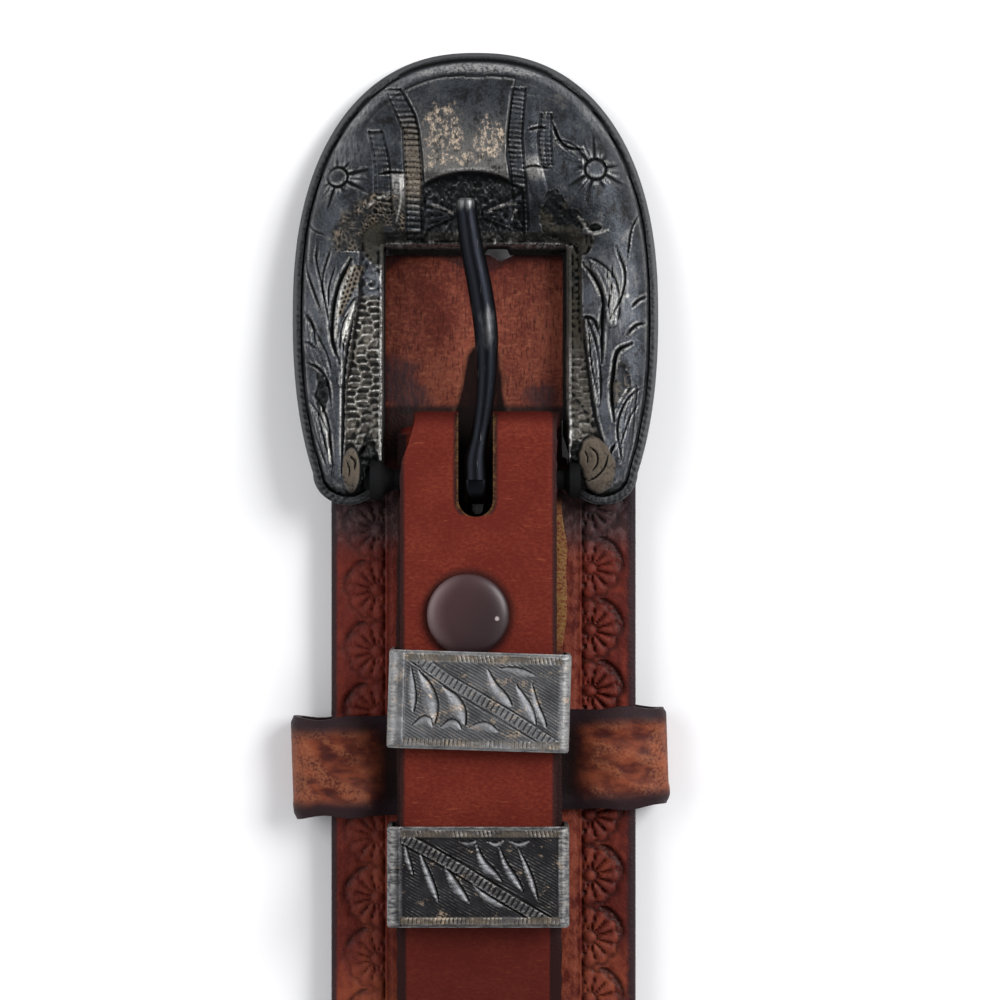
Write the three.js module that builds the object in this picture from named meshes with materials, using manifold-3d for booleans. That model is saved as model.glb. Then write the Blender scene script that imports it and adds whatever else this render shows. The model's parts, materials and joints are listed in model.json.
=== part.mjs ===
// Western tooled belt: a wide leather strap that narrows to thin billets at both ends,
// with a horseshoe buckle, its tongue, two metal keepers, a snap and a leather loop.
// Millimetres, +Z up, lying flat and straight, +Y towards the buckle's round end.

import * as THREE from 'three';
import { mergeVertices } from 'three/addons/utils/BufferGeometryUtils.js';
import Module from 'manifold-3d';

const wasm = await Module();
wasm.setup();

// Clearances
const GAP = 0.3;              // between two pieces that lie on each other
const BAR_GAP = 0.25;         // between the buckle's bar and the leather round it
const KEEPER_SIDE_GAP = 0.42; // each side of the billet inside a keeper
const TIP_ROOM = 2.2;         // height left in the keepers for the belt's tip

// Wide strap
const STRAP_WIDTH = 38.1;
const STRAP_THICK = 3;
const STRAP_CORNER = 6;       // corner radius of the far end
const SHOULDER_Y = 2;         // the strap is cut in square here, measured from the bar
const TAIL_WIDTH = 23.6;        // just under the window's sides
const TAIL_SKIVE = 1;           // pared off the tail's top, so that it clears the frame's back
const TAIL_SKIVE_Y = 12;        // where the paring is complete
const TAIL_END_Y = 28.4;
const TAIL_SLOT_WIDTH = 5.4;
const TAIL_SLOT_TOP_Y = 16.2;

// Billets
const BILLET_WIDTH = 19.3;
const BILLET_THICK = 2;
const LOWER_WIDTH = 20.4;     // the under layer of the folded billet is a little wider
const LOWER_X = -0.5;
const BILLET_X = -0.6;        // it lies a little left of the strap's middle
const FOLD_Y = 8.5;           // outer edge of the fold
const UPPER_END_Y = -53.5;    // the upper layer ends under the lower keeper
const LOWER_END_Y = -100;     // the under layer is sewn down to here
const LOWER_CORNER = 3;
const SLOT_WIDTH = 4.3;
const SLOT_END_Y = -4.6;

// Holes and tip
const BAR_TO_MIDDLE_HOLE = 864;
const HOLE_PITCH = 25.4;
const HOLES_EACH_WAY = 2;
const HOLE_RADIUS = 2.1;
const TIP_LENGTH = 75;        // from the last hole to the tip
const STRAP_TO_HOLE = 38;     // from the wide strap's far end to the first hole
const TIP_LAP = 85;           // length of the tip billet that is sewn on the strap

// Buckle frame
const FRAME_X = -1;
const FRAME_WIDTH = 45.6;
const FRAME_TOP_Y = 53.8;
const WIDEST_Y = 21.25;
const LOWER_REACH = 37.5;     // half height of the oval that the arms follow below the widest line
const ROUNDNESS = 2.3;        // exponent of the oval: 2 is an ellipse
const ARM_START_Y = 0.8;      // the arms' round ends begin here
const WINDOW_WIDTH = 23.2;
const WINDOW_TOP_Y = 29.4;
const WINDOW_CORNER = 2;
const RIM_WIDTH = 1.15;
const RIM_HEIGHT_TOP = 2;
const RIM_HEIGHT_ARM = 3.3;
const CREST_TOP = 7.7;        // height of the dome over the frame's back, at the round end
const CREST_ARM = 5.6;
const EDGE_TOP = 4.6;         // height of the window's edge, at the round end
const EDGE_ARM = 3;
const WALL = 2.2;             // thickness of the hollow frame
const RELIEF = 0.45;          // height of the raised panel and the two flowers
const RECESS = 0.8;           // depth of the slope that the tongue rests on
const FLOWER_RADIUS = 3.4;
const BAR_RADIUS = 1.2;
const LUG_GROWTH = 1.2;         // the lugs that carry the bar, over its radius
const LUG_INTO_ARM = 1.4;
const LUG_LEFT = 1.5;           // how far each lug comes out of its arm
const LUG_RIGHT = 0.5;

// Tongue
const TONGUE_X = -0.95;
const TONGUE_WIDTH = 3.2;
const TONGUE_TIP_Y = 34.7;
const EYE_WALL = 1.5;
const EYE_GAP = 0.3;

// Snap
const SNAP_X = -1.87;
const SNAP_Y = -16.6;
const CAP_RADIUS = 5.05;
const CAP_HEIGHT = 1.25;
const POST_RADIUS = 1.75;
const FLANGE_RADIUS = 4;
const FLANGE_THICK = 0.8;

// Keepers
const KEEPER_WALL = 0.55;
const KEEPER_FACE = 1;        // thickness of the engraved top plate
const KEEPER_CORNER = 1.3;
const UPPER_KEEPER = { x: -0.5, y: -27.1, length: 12, turn: -1.8 };
const LOWER_KEEPER = { x: -0.62, y: -48.6, length: 12.3, turn: 0 };

// Leather loop
const LOOP_PLACE = { x: -0.45, y: -35.2, turn: 1.9 };
const LOOP_WIDTH = 12.4;      // along the belt
const LOOP_THICK = 1.5;
const LOOP_REACH = 23.75;     // from its middle out to its side
const LOOP_SWELL = 1.3;       // how far it stands up beside the billet

// Heights that follow from the layers, floor upwards
const strapLift = LOOP_THICK + GAP;
const strapTop = strapLift + STRAP_THICK;
const loopTop = strapTop + GAP + LOOP_THICK;
const keeperLow = loopTop + GAP;                  // the loop passes under the keepers
const billetLow = keeperLow + KEEPER_WALL + GAP;  // under layer, inside the keepers
const billetAtBar = strapTop + GAP;               // under layer, below the bar
const barZ = billetAtBar + BILLET_THICK + BAR_GAP + BAR_RADIUS;
const upperAtBar = barZ + BAR_RADIUS + BAR_GAP;
const upperLow = billetLow + BILLET_THICK + GAP;
const upperTop = upperLow + BILLET_THICK;
const armBase = billetAtBar;                      // the frame's back, beside the bar
const knuckle = barZ - armBase;                   // the arms' ends are round about the bar

// Lengths that follow, measured from the bar
const firstHoleY = -BAR_TO_MIDDLE_HOLE + HOLES_EACH_WAY * HOLE_PITCH;
const lastHoleY = -BAR_TO_MIDDLE_HOLE - HOLES_EACH_WAY * HOLE_PITCH;
const tipY = lastHoleY - TIP_LENGTH;
const strapEndY = firstHoleY + STRAP_TO_HOLE;
const plateauY = LOWER_KEEPER.y - LOWER_KEEPER.length / 2 - 4;
const rampLength = 50;
const stackEndY = SNAP_Y + POST_RADIUS + 2 * GAP;  // the layers are level from here down

// Smooth step from 0 at a to 1 at b
function ease(a, b, value) {
  const t = Math.min(1, Math.max(0, (value - a) / (b - a)));
  return t * t * (3 - 2 * t);
}

function mix(a, b, t) {
  return a + (b - a) * t;
}

// Closed solid of a three.js geometry, and back again
function solid(geometry) {
  const plain = geometry.clone();
  plain.deleteAttribute('normal');
  plain.deleteAttribute('uv');
  const merged = mergeVertices(plain, 1e-4);
  const vertProperties = new Float32Array(merged.attributes.position.array);
  const triVerts = new Uint32Array(merged.index.array);
  return new wasm.Manifold(new wasm.Mesh({ numProp: 3, vertProperties, triVerts }));
}

function surface(body) {
  const mesh = body.getMesh();
  const geometry = new THREE.BufferGeometry();
  geometry.setAttribute('position', new THREE.BufferAttribute(mesh.vertProperties, 3));
  geometry.setIndex(new THREE.BufferAttribute(mesh.triVerts, 1));
  geometry.computeVertexNormals();
  return geometry;
}

function extrude(shape, depth, curveSegments = 12) {
  return new THREE.ExtrudeGeometry(shape, { depth, bevelEnabled: false, curveSegments });
}

// A side outline in (y, z), extruded across the belt, centred on x = 0
function acrossBelt(outline, width) {
  const axes = new THREE.Matrix4().makeBasis(
    new THREE.Vector3(0, 1, 0), new THREE.Vector3(0, 0, 1), new THREE.Vector3(1, 0, 0));
  return extrude(new THREE.Shape(outline), width).translate(0, 0, -width / 2).applyMatrix4(axes);
}

// A plan outline in (x, y), as a tall block that straps are cut with
const TALL = 40;
function planBlock(shape, curveSegments = 12) {
  return solid(extrude(shape, TALL, curveSegments).translate(0, 0, -TALL / 4));
}

// Stadium with round ends, from y0 up to y1
function stadium(x, width, y0, y1) {
  const r = width / 2;
  const shape = new THREE.Shape();
  shape.absarc(x, y1 - r, r, 0, Math.PI);
  shape.absarc(x, y0 + r, r, Math.PI, 2 * Math.PI);
  return shape;
}

function peg(x, y, radius) {
  const shape = new THREE.Shape();
  shape.absarc(x, y, radius, 0, 2 * Math.PI);
  return planBlock(shape, 24);
}

// Rectangle with four corner radii, from the lower left corner round to the upper left one
function plate(x0, y0, x1, y1, lower, upper) {
  const shape = new THREE.Shape();
  shape.moveTo(x0 + lower, y0);
  shape.lineTo(x1 - lower, y0);
  shape.quadraticCurveTo(x1, y0, x1, y0 + lower);
  shape.lineTo(x1, y1 - upper);
  shape.quadraticCurveTo(x1, y1, x1 - upper, y1);
  shape.lineTo(x0 + upper, y1);
  shape.quadraticCurveTo(x0, y1, x0, y1 - upper);
  shape.lineTo(x0, y0 + lower);
  shape.quadraticCurveTo(x0, y0, x0 + lower, y0);
  return shape;
}

// Side outline of a strap that lies on the line under(y). thinned(y) is what is pared off its top.
function sideOutline(under, thick, stations, thinned = () => 0) {
  const below = stations.map((y) => new THREE.Vector2(y, under(y)));
  const above = stations.map((y) => new THREE.Vector2(y, under(y) + thick - thinned(y))).reverse();
  return [...below, ...above];
}

function spread(from, to, steps) {
  return Array.from({ length: steps + 1 }, (_, i) => mix(from, to, i / steps));
}

// Underside of the wide strap: level over the loop, easing down to the floor both ways
function strapUnder(y) {
  const down = ease(plateauY, plateauY - rampLength, y);
  const tail = ease(SHOULDER_Y, TAIL_END_Y, y);
  return strapLift * (1 - down) * (1 - tail);
}

// Underside of the billet's under layer: low at the bar, over the loop, then down on the strap
function billetUnder(y) {
  const rise = mix(billetAtBar, billetLow, ease(SLOT_END_Y, stackEndY, y));
  const onStrap = strapUnder(y) + STRAP_THICK + GAP;
  return mix(rise, onStrap, ease(plateauY + 2, plateauY - 10, y));
}

function upperUnder(y) {
  return mix(upperAtBar, upperLow, ease(SLOT_END_Y, stackEndY, y));
}

// Wide strap, with square shoulders and the slotted tail that lies behind the window
function mainStrap() {
  const half = STRAP_WIDTH / 2;
  const stations = [
    strapEndY, plateauY - rampLength - 1,
    ...spread(plateauY - rampLength, plateauY, 14),
    ...spread(SHOULDER_Y, TAIL_END_Y, 8),
  ];
  const pared = (y) => TAIL_SKIVE * ease(SHOULDER_Y, TAIL_SKIVE_Y, y);
  const body = solid(acrossBelt(sideOutline(strapUnder, STRAP_THICK, stations, pared), STRAP_WIDTH));
  const tail0 = FRAME_X - TAIL_WIDTH / 2;
  const tail1 = FRAME_X + TAIL_WIDTH / 2;
  const middle = (tail0 + tail1) / 2 + TAIL_WIDTH * 0.03;
  const end = TAIL_END_Y;
  const dip = TAIL_WIDTH * 0.12;
  const shape = new THREE.Shape();
  shape.moveTo(-half + STRAP_CORNER, strapEndY);
  shape.lineTo(half - STRAP_CORNER, strapEndY);
  shape.quadraticCurveTo(half, strapEndY, half, strapEndY + STRAP_CORNER);
  shape.lineTo(half, SHOULDER_Y);
  shape.lineTo(tail1, SHOULDER_Y);
  shape.lineTo(tail1, end - dip * 0.05);
  shape.quadraticCurveTo(mix(middle, tail1, 0.4), end + dip * 0.2, middle + dip, end - dip * 0.35);
  shape.quadraticCurveTo(middle, end - dip * 0.85, middle - dip, end - dip * 0.5);
  shape.quadraticCurveTo(mix(middle, tail0, 0.6), end + dip * 0.5, tail0, end - dip * 0.5);
  shape.lineTo(tail0, SHOULDER_Y);
  shape.lineTo(-half, SHOULDER_Y);
  shape.lineTo(-half, strapEndY + STRAP_CORNER);
  shape.quadraticCurveTo(-half, strapEndY, -half + STRAP_CORNER, strapEndY);
  return surface(body
    .intersect(planBlock(shape))
    .subtract(planBlock(stadium(TONGUE_X, TAIL_SLOT_WIDTH, SLOT_END_Y, TAIL_SLOT_TOP_Y))));
}

// Narrow strap, folded round the buckle's bar
function foldedBillet() {
  const inner = (upperAtBar - billetAtBar - BILLET_THICK) / 2;
  const outer = inner + BILLET_THICK;
  const foldY = FOLD_Y - outer;
  const arcSteps = 10;
  const turns = spread(-Math.PI / 2, Math.PI / 2, arcSteps);
  const at = (radius, angle) => new THREE.Vector2(
    foldY + radius * Math.cos(angle), billetAtBar + outer + radius * Math.sin(angle));
  const lowerYs = [
    LOWER_END_Y, ...spread(plateauY - 30, plateauY + 2, 12), stackEndY,
    ...spread(stackEndY, SLOT_END_Y, 7).slice(1),
  ];
  const upperYs = [UPPER_END_Y, ...spread(stackEndY, SLOT_END_Y, 7)];
  const outline = [
    ...lowerYs.map((y) => new THREE.Vector2(y, billetUnder(y))),
    ...turns.map((a) => at(outer, a)),
    ...upperYs.map((y) => new THREE.Vector2(y, upperUnder(y) + BILLET_THICK)).reverse(),
    ...upperYs.map((y) => new THREE.Vector2(y, upperUnder(y))),
    ...turns.map((a) => at(inner, a)).reverse(),
    ...lowerYs.map((y) => new THREE.Vector2(y, billetUnder(y) + BILLET_THICK)).reverse(),
  ];
  const folded = solid(acrossBelt(outline, BILLET_WIDTH).translate(BILLET_X, 0, 0));
  const wide = solid(acrossBelt(
    sideOutline(billetUnder, BILLET_THICK, [...lowerYs, foldY]), LOWER_WIDTH)
    .translate(LOWER_X, 0, 0));
  const reach = LOWER_WIDTH;
  const outlineRound = plate(LOWER_X - LOWER_WIDTH / 2, LOWER_END_Y,
    LOWER_X + LOWER_WIDTH / 2, FOLD_Y + reach, LOWER_CORNER, 1);
  return surface(folded.add(wide)
    .intersect(planBlock(outlineRound))
    .subtract(planBlock(stadium(TONGUE_X, SLOT_WIDTH, SLOT_END_Y, FOLD_Y + SLOT_WIDTH)))
    .subtract(peg(SNAP_X, SNAP_Y, POST_RADIUS + GAP)));
}

// The other narrow strap, sewn on the wide strap's far end, with the holes and the round tip
function tipBillet() {
  const startY = strapEndY + TIP_LAP;
  const dropStart = strapEndY - GAP;
  const dropEnd = firstHoleY + HOLE_RADIUS + 2;
  const under = (y) => (STRAP_THICK + GAP) * (1 - ease(dropStart, dropEnd, y));
  const stations = [tipY, ...spread(dropEnd, dropStart, 10), startY];
  const body = solid(acrossBelt(sideOutline(under, BILLET_THICK, stations), BILLET_WIDTH));
  const half = BILLET_WIDTH / 2;
  const shape = new THREE.Shape();
  shape.moveTo(half, startY - 3);
  shape.quadraticCurveTo(half, startY, half - 3, startY);
  shape.lineTo(-half + 3, startY);
  shape.quadraticCurveTo(-half, startY, -half, startY - 3);
  shape.lineTo(-half, tipY + half * 1.5);
  shape.bezierCurveTo(-half, tipY + half * 0.7, -half * 0.5, tipY, 0, tipY);
  shape.bezierCurveTo(half * 0.5, tipY, half, tipY + half * 0.7, half, tipY + half * 1.5);
  shape.lineTo(half, startY - 3);
  let billet = body.intersect(planBlock(shape));
  for (let i = -HOLES_EACH_WAY; i <= HOLES_EACH_WAY; i += 1) {
    billet = billet.subtract(peg(0, -BAR_TO_MIDDLE_HOLE + i * HOLE_PITCH, HOLE_RADIUS));
  }
  return surface(billet);
}

// Outer outline of the horseshoe, by an angle that is 0 on its widest line
// and a quarter turn at the top. Below the widest line the angle is negative.
function outerEdge(angle) {
  const power = 2 / ROUNDNESS;
  const reach = angle < 0 ? -LOWER_REACH : FRAME_TOP_Y - WIDEST_Y;
  return new THREE.Vector2(
    -FRAME_WIDTH / 2 * Math.cos(angle) ** power,
    WIDEST_Y + reach * Math.sin(Math.abs(angle)) ** power);
}

// Stations round the left half of the horseshoe, each with an outer and an inner point:
// up the arm, round the window's corner, and along the window's top to the middle
function frameStations() {
  const armAngle = -Math.asin(((WIDEST_Y - ARM_START_Y) / LOWER_REACH) ** (ROUNDNESS / 2));
  const cornerAngles = [0.3, 0.8];
  const side = -WINDOW_WIDTH / 2;
  const cornerY = WINDOW_TOP_Y - WINDOW_CORNER;
  const stations = [];
  for (const t of spread(0, 1, 17)) {
    stations.push({
      outer: outerEdge(mix(armAngle, cornerAngles[0], t)),
      inner: new THREE.Vector2(side, mix(ARM_START_Y, cornerY, t)),
    });
  }
  for (const t of spread(0, 1, 5).slice(1)) {
    const a = Math.PI - t * Math.PI / 2;
    stations.push({
      outer: outerEdge(mix(...cornerAngles, t)),
      inner: new THREE.Vector2(side + WINDOW_CORNER + WINDOW_CORNER * Math.cos(a),
        cornerY + WINDOW_CORNER * Math.sin(a)),
    });
  }
  for (const t of spread(0, 1, 12).slice(1)) {
    stations.push({
      outer: outerEdge(mix(cornerAngles[1], Math.PI / 2, t)),
      inner: new THREE.Vector2(mix(side + WINDOW_CORNER, 0, t), WINDOW_TOP_Y),
    });
  }
  return stations;
}

// Height of the frame's back over the floor: level beside the bar, then down to the floor
function frameBase(y) {
  const levelY = SHOULDER_Y + GAP;
  return armBase * (1 - Math.max(0, y - levelY) / (FRAME_TOP_Y - levelY));
}

// Height of the face over the frame's back. d is the distance in from the outer edge
// and width is the whole distance to the window's edge.
function faceHeight(x, y, d, width) {
  const top = ease(WINDOW_TOP_Y * 0.75, WINDOW_TOP_Y * 1.3, y);
  const rim = mix(RIM_HEIGHT_ARM, RIM_HEIGHT_TOP, ease(0, FRAME_TOP_Y, y));
  const crest = mix(CREST_ARM, CREST_TOP, top);
  const edge = mix(EDGE_ARM, EDGE_TOP, top);
  if (d < RIM_WIDTH) return rim;
  const share = mix(0.45, 0.6, top);
  const t = (d - RIM_WIDTH) / (width - RIM_WIDTH);
  const rise = Math.min(1, t / share);
  const fall = Math.max(0, (t - share) / (1 - share));
  let height = mix(rim - 0.3, crest, Math.sqrt(1 - (1 - rise) ** 2));
  height = mix(height, edge, fall ** 1.3);
  const windowHalf = WINDOW_WIDTH / 2;
  const slopeTop = mix(WINDOW_TOP_Y, FRAME_TOP_Y, 0.37);
  const middle = ease(windowHalf * 0.75, windowHalf * 0.45, Math.abs(x));
  height -= RECESS * middle * ease(slopeTop, slopeTop - 1.5, y) * ease(1, 0.6, fall);
  const panelHalf = mix(windowHalf * 0.55, windowHalf * 0.36, ease(slopeTop, FRAME_TOP_Y, y));
  const onPanel = ease(panelHalf, panelHalf - 1, Math.abs(x)) * ease(slopeTop, slopeTop + 1.5, y);
  height += RELIEF * onPanel * ease(RIM_WIDTH, RIM_WIDTH + 4, d);
  const flowerX = FRAME_WIDTH * 0.37;
  const flowerY = mix(WINDOW_TOP_Y, FRAME_TOP_Y, 0.36);
  const away = Math.hypot(Math.abs(x) - flowerX, y - flowerY) / FLOWER_RADIUS;
  return height + RELIEF * Math.sqrt(Math.max(0, 1 - away ** 2));
}

// Horseshoe frame: a face and a back over one grid of points, with walls round their edges.
// The back is hollow, except at the arms' ends, which are round about the bar.
function frameShell() {
  const half = frameStations();
  const mirrored = half.slice(0, -1).reverse().map(({ outer, inner }) => ({
    outer: new THREE.Vector2(-outer.x, outer.y), inner: new THREE.Vector2(-inner.x, inner.y),
  }));
  const armReach = knuckle * 0.9 + ARM_START_Y;
  const endRows = [0, 0.15, 0.4, 0.7];
  const sharesOf = (width) => {
    const rim = RIM_WIDTH / width;
    return [0, rim, ...spread(rim * 1.2, 1, 10)];
  };
  const rowOf = ({ outer, inner }) => sharesOf(outer.distanceTo(inner))
    .map((t) => outer.clone().lerp(inner, t));
  const endOf = ({ outer, inner }) => endRows.map((k) => sharesOf(outer.distanceTo(inner)).map((t) => {
    const turn = Math.PI * (1 - t);
    const middle = (outer.x + inner.x) / 2;
    const round = middle + (inner.x - outer.x) / 2 * Math.cos(turn);
    const bulge = armReach * (1 - k) * Math.sin(turn);
    return new THREE.Vector2(mix(round, mix(outer.x, inner.x, t), k),
      outer.y - bulge - (1 - k) * 0.3);
  }));
  const rows = [
    ...endOf(half[0]), ...half.map(rowOf), ...mirrored.map(rowOf),
    ...endOf(mirrored[mirrored.length - 1]).reverse(),
  ];
  const last = rows.length - 1;
  const face = [];
  const back = [];
  rows.forEach((row, i) => {
    const width = row[0].distanceTo(row[row.length - 1]);
    const shares = sharesOf(width);
    const fromTip = Math.min(1, Math.min(i, last - i) / endRows.length) * width / 2;
    row.forEach((point, j) => {
      const inEnd = fromTip < width / 2;
      const d = inEnd ? Math.min(shares[j] * width, fromTip) : shares[j] * width;
      const base = frameBase(point.y);
      const floor = point.y < 0 ? barZ - Math.sqrt(knuckle ** 2 - point.y ** 2) : base;
      const z = base + faceHeight(point.x, point.y, d, width);
      const inside = Math.min(1, Math.min(shares[j], 1 - shares[j]) * 12);
      const hollow = ease(4, 8, point.y) * inside * Math.max(0, z - base - WALL);
      face.push(new THREE.Vector3(point.x, point.y, Math.max(z, floor + 1)));
      back.push(new THREE.Vector3(point.x, point.y, floor + hollow));
    });
  });
  return gridSolid(face, back, rows.length, rows[0].length);
}

// Closed solid between two grids of the same points, one above the other
function gridSolid(face, back, rows, columns) {
  const positions = [...face, ...back].flatMap((p) => [p.x, p.y, p.z]);
  const offset = face.length;
  const at = (i, j) => i * columns + j;
  const index = [];
  const quad = (a, b, c, d) => index.push(a, b, c, a, c, d);
  for (let i = 0; i < rows - 1; i += 1) {
    for (let j = 0; j < columns - 1; j += 1) {
      quad(at(i, j), at(i, j + 1), at(i + 1, j + 1), at(i + 1, j));
      const k = offset + at(i, j);
      quad(k, k + columns, k + columns + 1, k + 1);
    }
    quad(at(i, 0), at(i + 1, 0), offset + at(i + 1, 0), offset + at(i, 0));
    const j = columns - 1;
    quad(at(i + 1, j), at(i, j), offset + at(i, j), offset + at(i + 1, j));
  }
  for (let j = 0; j < columns - 1; j += 1) {
    const i = rows - 1;
    quad(at(0, j + 1), at(0, j), offset + at(0, j), offset + at(0, j + 1));
    quad(at(i, j), at(i, j + 1), offset + at(i, j + 1), offset + at(i, j));
  }
  const geometry = new THREE.BufferGeometry();
  geometry.setAttribute('position', new THREE.Float32BufferAttribute(positions, 3));
  geometry.setIndex(index);
  return geometry;
}

// The frame with its bar, which runs into both arms out of a tapering lug on each
function buckleFrame() {
  const end = WINDOW_WIDTH / 2;
  const intoArm = 2.5;
  const lug = BAR_RADIUS + LUG_GROWTH;
  const profile = [
    [0, -end - intoArm], [BAR_RADIUS, -end - intoArm], [BAR_RADIUS, -end - LUG_INTO_ARM],
    [lug, -end - LUG_INTO_ARM], [lug, -end], [BAR_RADIUS, -end + LUG_LEFT],
    [BAR_RADIUS, end - LUG_RIGHT], [lug, end], [lug, end + LUG_INTO_ARM],
    [BAR_RADIUS, end + LUG_INTO_ARM], [BAR_RADIUS, end + intoArm], [0, end + intoArm],
  ].map(([r, h]) => new THREE.Vector2(r, h));
  const bar = new THREE.LatheGeometry(profile, 16).rotateZ(-Math.PI / 2).translate(0, 0, barZ);
  return surface(solid(frameShell()).add(solid(bar)).translate([FRAME_X, 0, 0]));
}

// Tube of changing width round a row of points: sections is a list of
// { at: Vector3, wide, high }, with both ends closed
function taperedRod(sections, sides) {
  const positions = [];
  sections.forEach(({ at, wide, high }) => {
    for (let k = 0; k < sides; k += 1) {
      const a = k / sides * 2 * Math.PI;
      positions.push(at.x + wide * Math.cos(a), at.y, at.z + high * Math.sin(a));
    }
  });
  const first = sections[0].at;
  const end = sections[sections.length - 1].at;
  positions.push(first.x, first.y, first.z, end.x, end.y, end.z);
  const firstCap = sections.length * sides;
  const index = [];
  for (let k = 0; k < sides; k += 1) {
    const next = (k + 1) % sides;
    for (let i = 0; i < sections.length - 1; i += 1) {
      const a = i * sides;
      const b = a + sides;
      index.push(a + k, b + next, a + next, a + k, b + k, b + next);
    }
    const tail = (sections.length - 1) * sides;
    index.push(firstCap, k, next, firstCap + 1, tail + next, tail + k);
  }
  const geometry = new THREE.BufferGeometry();
  geometry.setAttribute('position', new THREE.Float32BufferAttribute(positions, 3));
  geometry.setIndex(index);
  return geometry;
}

// Tongue: an eye round the bar and a slightly bent shaft whose tip rests on the frame.
// Each station is a share of the way to the tip, a sideways bend in parts of the
// tongue's width, and a half width in the same parts.
function buckleTongue() {
  const eyeInner = BAR_RADIUS + EYE_GAP;
  const eyeOuter = eyeInner + EYE_WALL;
  const ring = new THREE.Shape();
  ring.absarc(0, 0, eyeOuter, 0, 2 * Math.PI);
  const hole = new THREE.Path();
  hole.absarc(0, 0, eyeInner, 0, 2 * Math.PI, true);
  ring.holes.push(hole);
  const axes = new THREE.Matrix4().makeBasis(
    new THREE.Vector3(0, 1, 0), new THREE.Vector3(0, 0, 1), new THREE.Vector3(1, 0, 0));
  const eye = extrude(ring, TONGUE_WIDTH, 14).translate(0, 0, -TONGUE_WIDTH / 2).applyMatrix4(axes)
    .translate(TONGUE_X, 0, barZ);
  const bends = [
    [0, 0, 0.48], [0.08, 0, 0.44], [0.17, 0.18, 0.36], [0.28, 0.35, 0.38], [0.4, 0.43, 0.43],
    [0.54, 0.39, 0.49], [0.68, 0.2, 0.52], [0.83, -0.08, 0.52], [0.95, -0.22, 0.5],
    [0.99, -0.24, 0.42], [1, -0.24, 0.3],
  ];
  const tipHigh = TONGUE_WIDTH * 0.45;
  const startZ = barZ + (eyeInner + eyeOuter) / 2;
  const restY = mix(WINDOW_TOP_Y, TONGUE_TIP_Y, 0.5);
  const width = FRAME_TOP_Y - WINDOW_TOP_Y;
  const slopeZ = frameBase(restY) + faceHeight(TONGUE_X, restY, FRAME_TOP_Y - restY, width);
  const tipZ = slopeZ + tipHigh + 1.4 * GAP;
  const sections = bends.map(([t, bend, half]) => ({
    at: new THREE.Vector3(TONGUE_X + bend * TONGUE_WIDTH, mix(0, TONGUE_TIP_Y, t),
      mix(startZ, tipZ, t ** 1.6)),
    wide: half * TONGUE_WIDTH,
    high: half * TONGUE_WIDTH * 0.9,
  }));
  return surface(solid(eye).add(solid(taperedRod(sections, 14)).subtract(borePlug(eyeInner))));
}

// Round space of the tongue's eye, kept free of its shaft
function borePlug(radius) {
  const plug = new THREE.CylinderGeometry(radius, radius, 2 * TONGUE_WIDTH, 28);
  return solid(plug.rotateZ(Math.PI / 2).translate(TONGUE_X, 0, barZ));
}

// Snap: domed cap, post through both layers of the billet and a flange under them
function snapFastener() {
  const under = billetUnder(SNAP_Y) - GAP;
  const over = upperUnder(SNAP_Y) + BILLET_THICK + GAP;
  const edge = CAP_HEIGHT * 0.35;
  const dome = spread(0, Math.PI / 2, 5).map((a) => new THREE.Vector2(
    CAP_RADIUS * Math.cos(a) ** 0.7, over + edge + (CAP_HEIGHT - edge) * Math.sin(a)));
  dome[dome.length - 1].x = 0;
  const profile = [
    new THREE.Vector2(0, under - FLANGE_THICK), new THREE.Vector2(FLANGE_RADIUS, under - FLANGE_THICK),
    new THREE.Vector2(FLANGE_RADIUS, under), new THREE.Vector2(POST_RADIUS, under),
    new THREE.Vector2(POST_RADIUS, over), new THREE.Vector2(CAP_RADIUS - GAP, over), ...dome,
  ];
  return new THREE.LatheGeometry(profile, 28).rotateX(Math.PI / 2).translate(SNAP_X, SNAP_Y, 0);
}

// Metal keeper: a closed band round both layers, with room over them for the belt's tip
function keeper(length) {
  const low = keeperLow + KEEPER_WALL;
  const high = upperTop + TIP_ROOM;
  const half = LOWER_WIDTH / 2 + KEEPER_SIDE_GAP;
  const outside = plate(-half - KEEPER_WALL, keeperLow, half + KEEPER_WALL,
    high + KEEPER_FACE, KEEPER_CORNER, KEEPER_CORNER);
  const corner = KEEPER_CORNER - KEEPER_WALL;
  const inside = plate(-half, low, half, high, corner, corner).getPoints(3).reverse();
  outside.holes.push(new THREE.Path(inside));
  return extrude(outside, length, 3).translate(0, 0, -length / 2).rotateX(Math.PI / 2);
}

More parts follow.
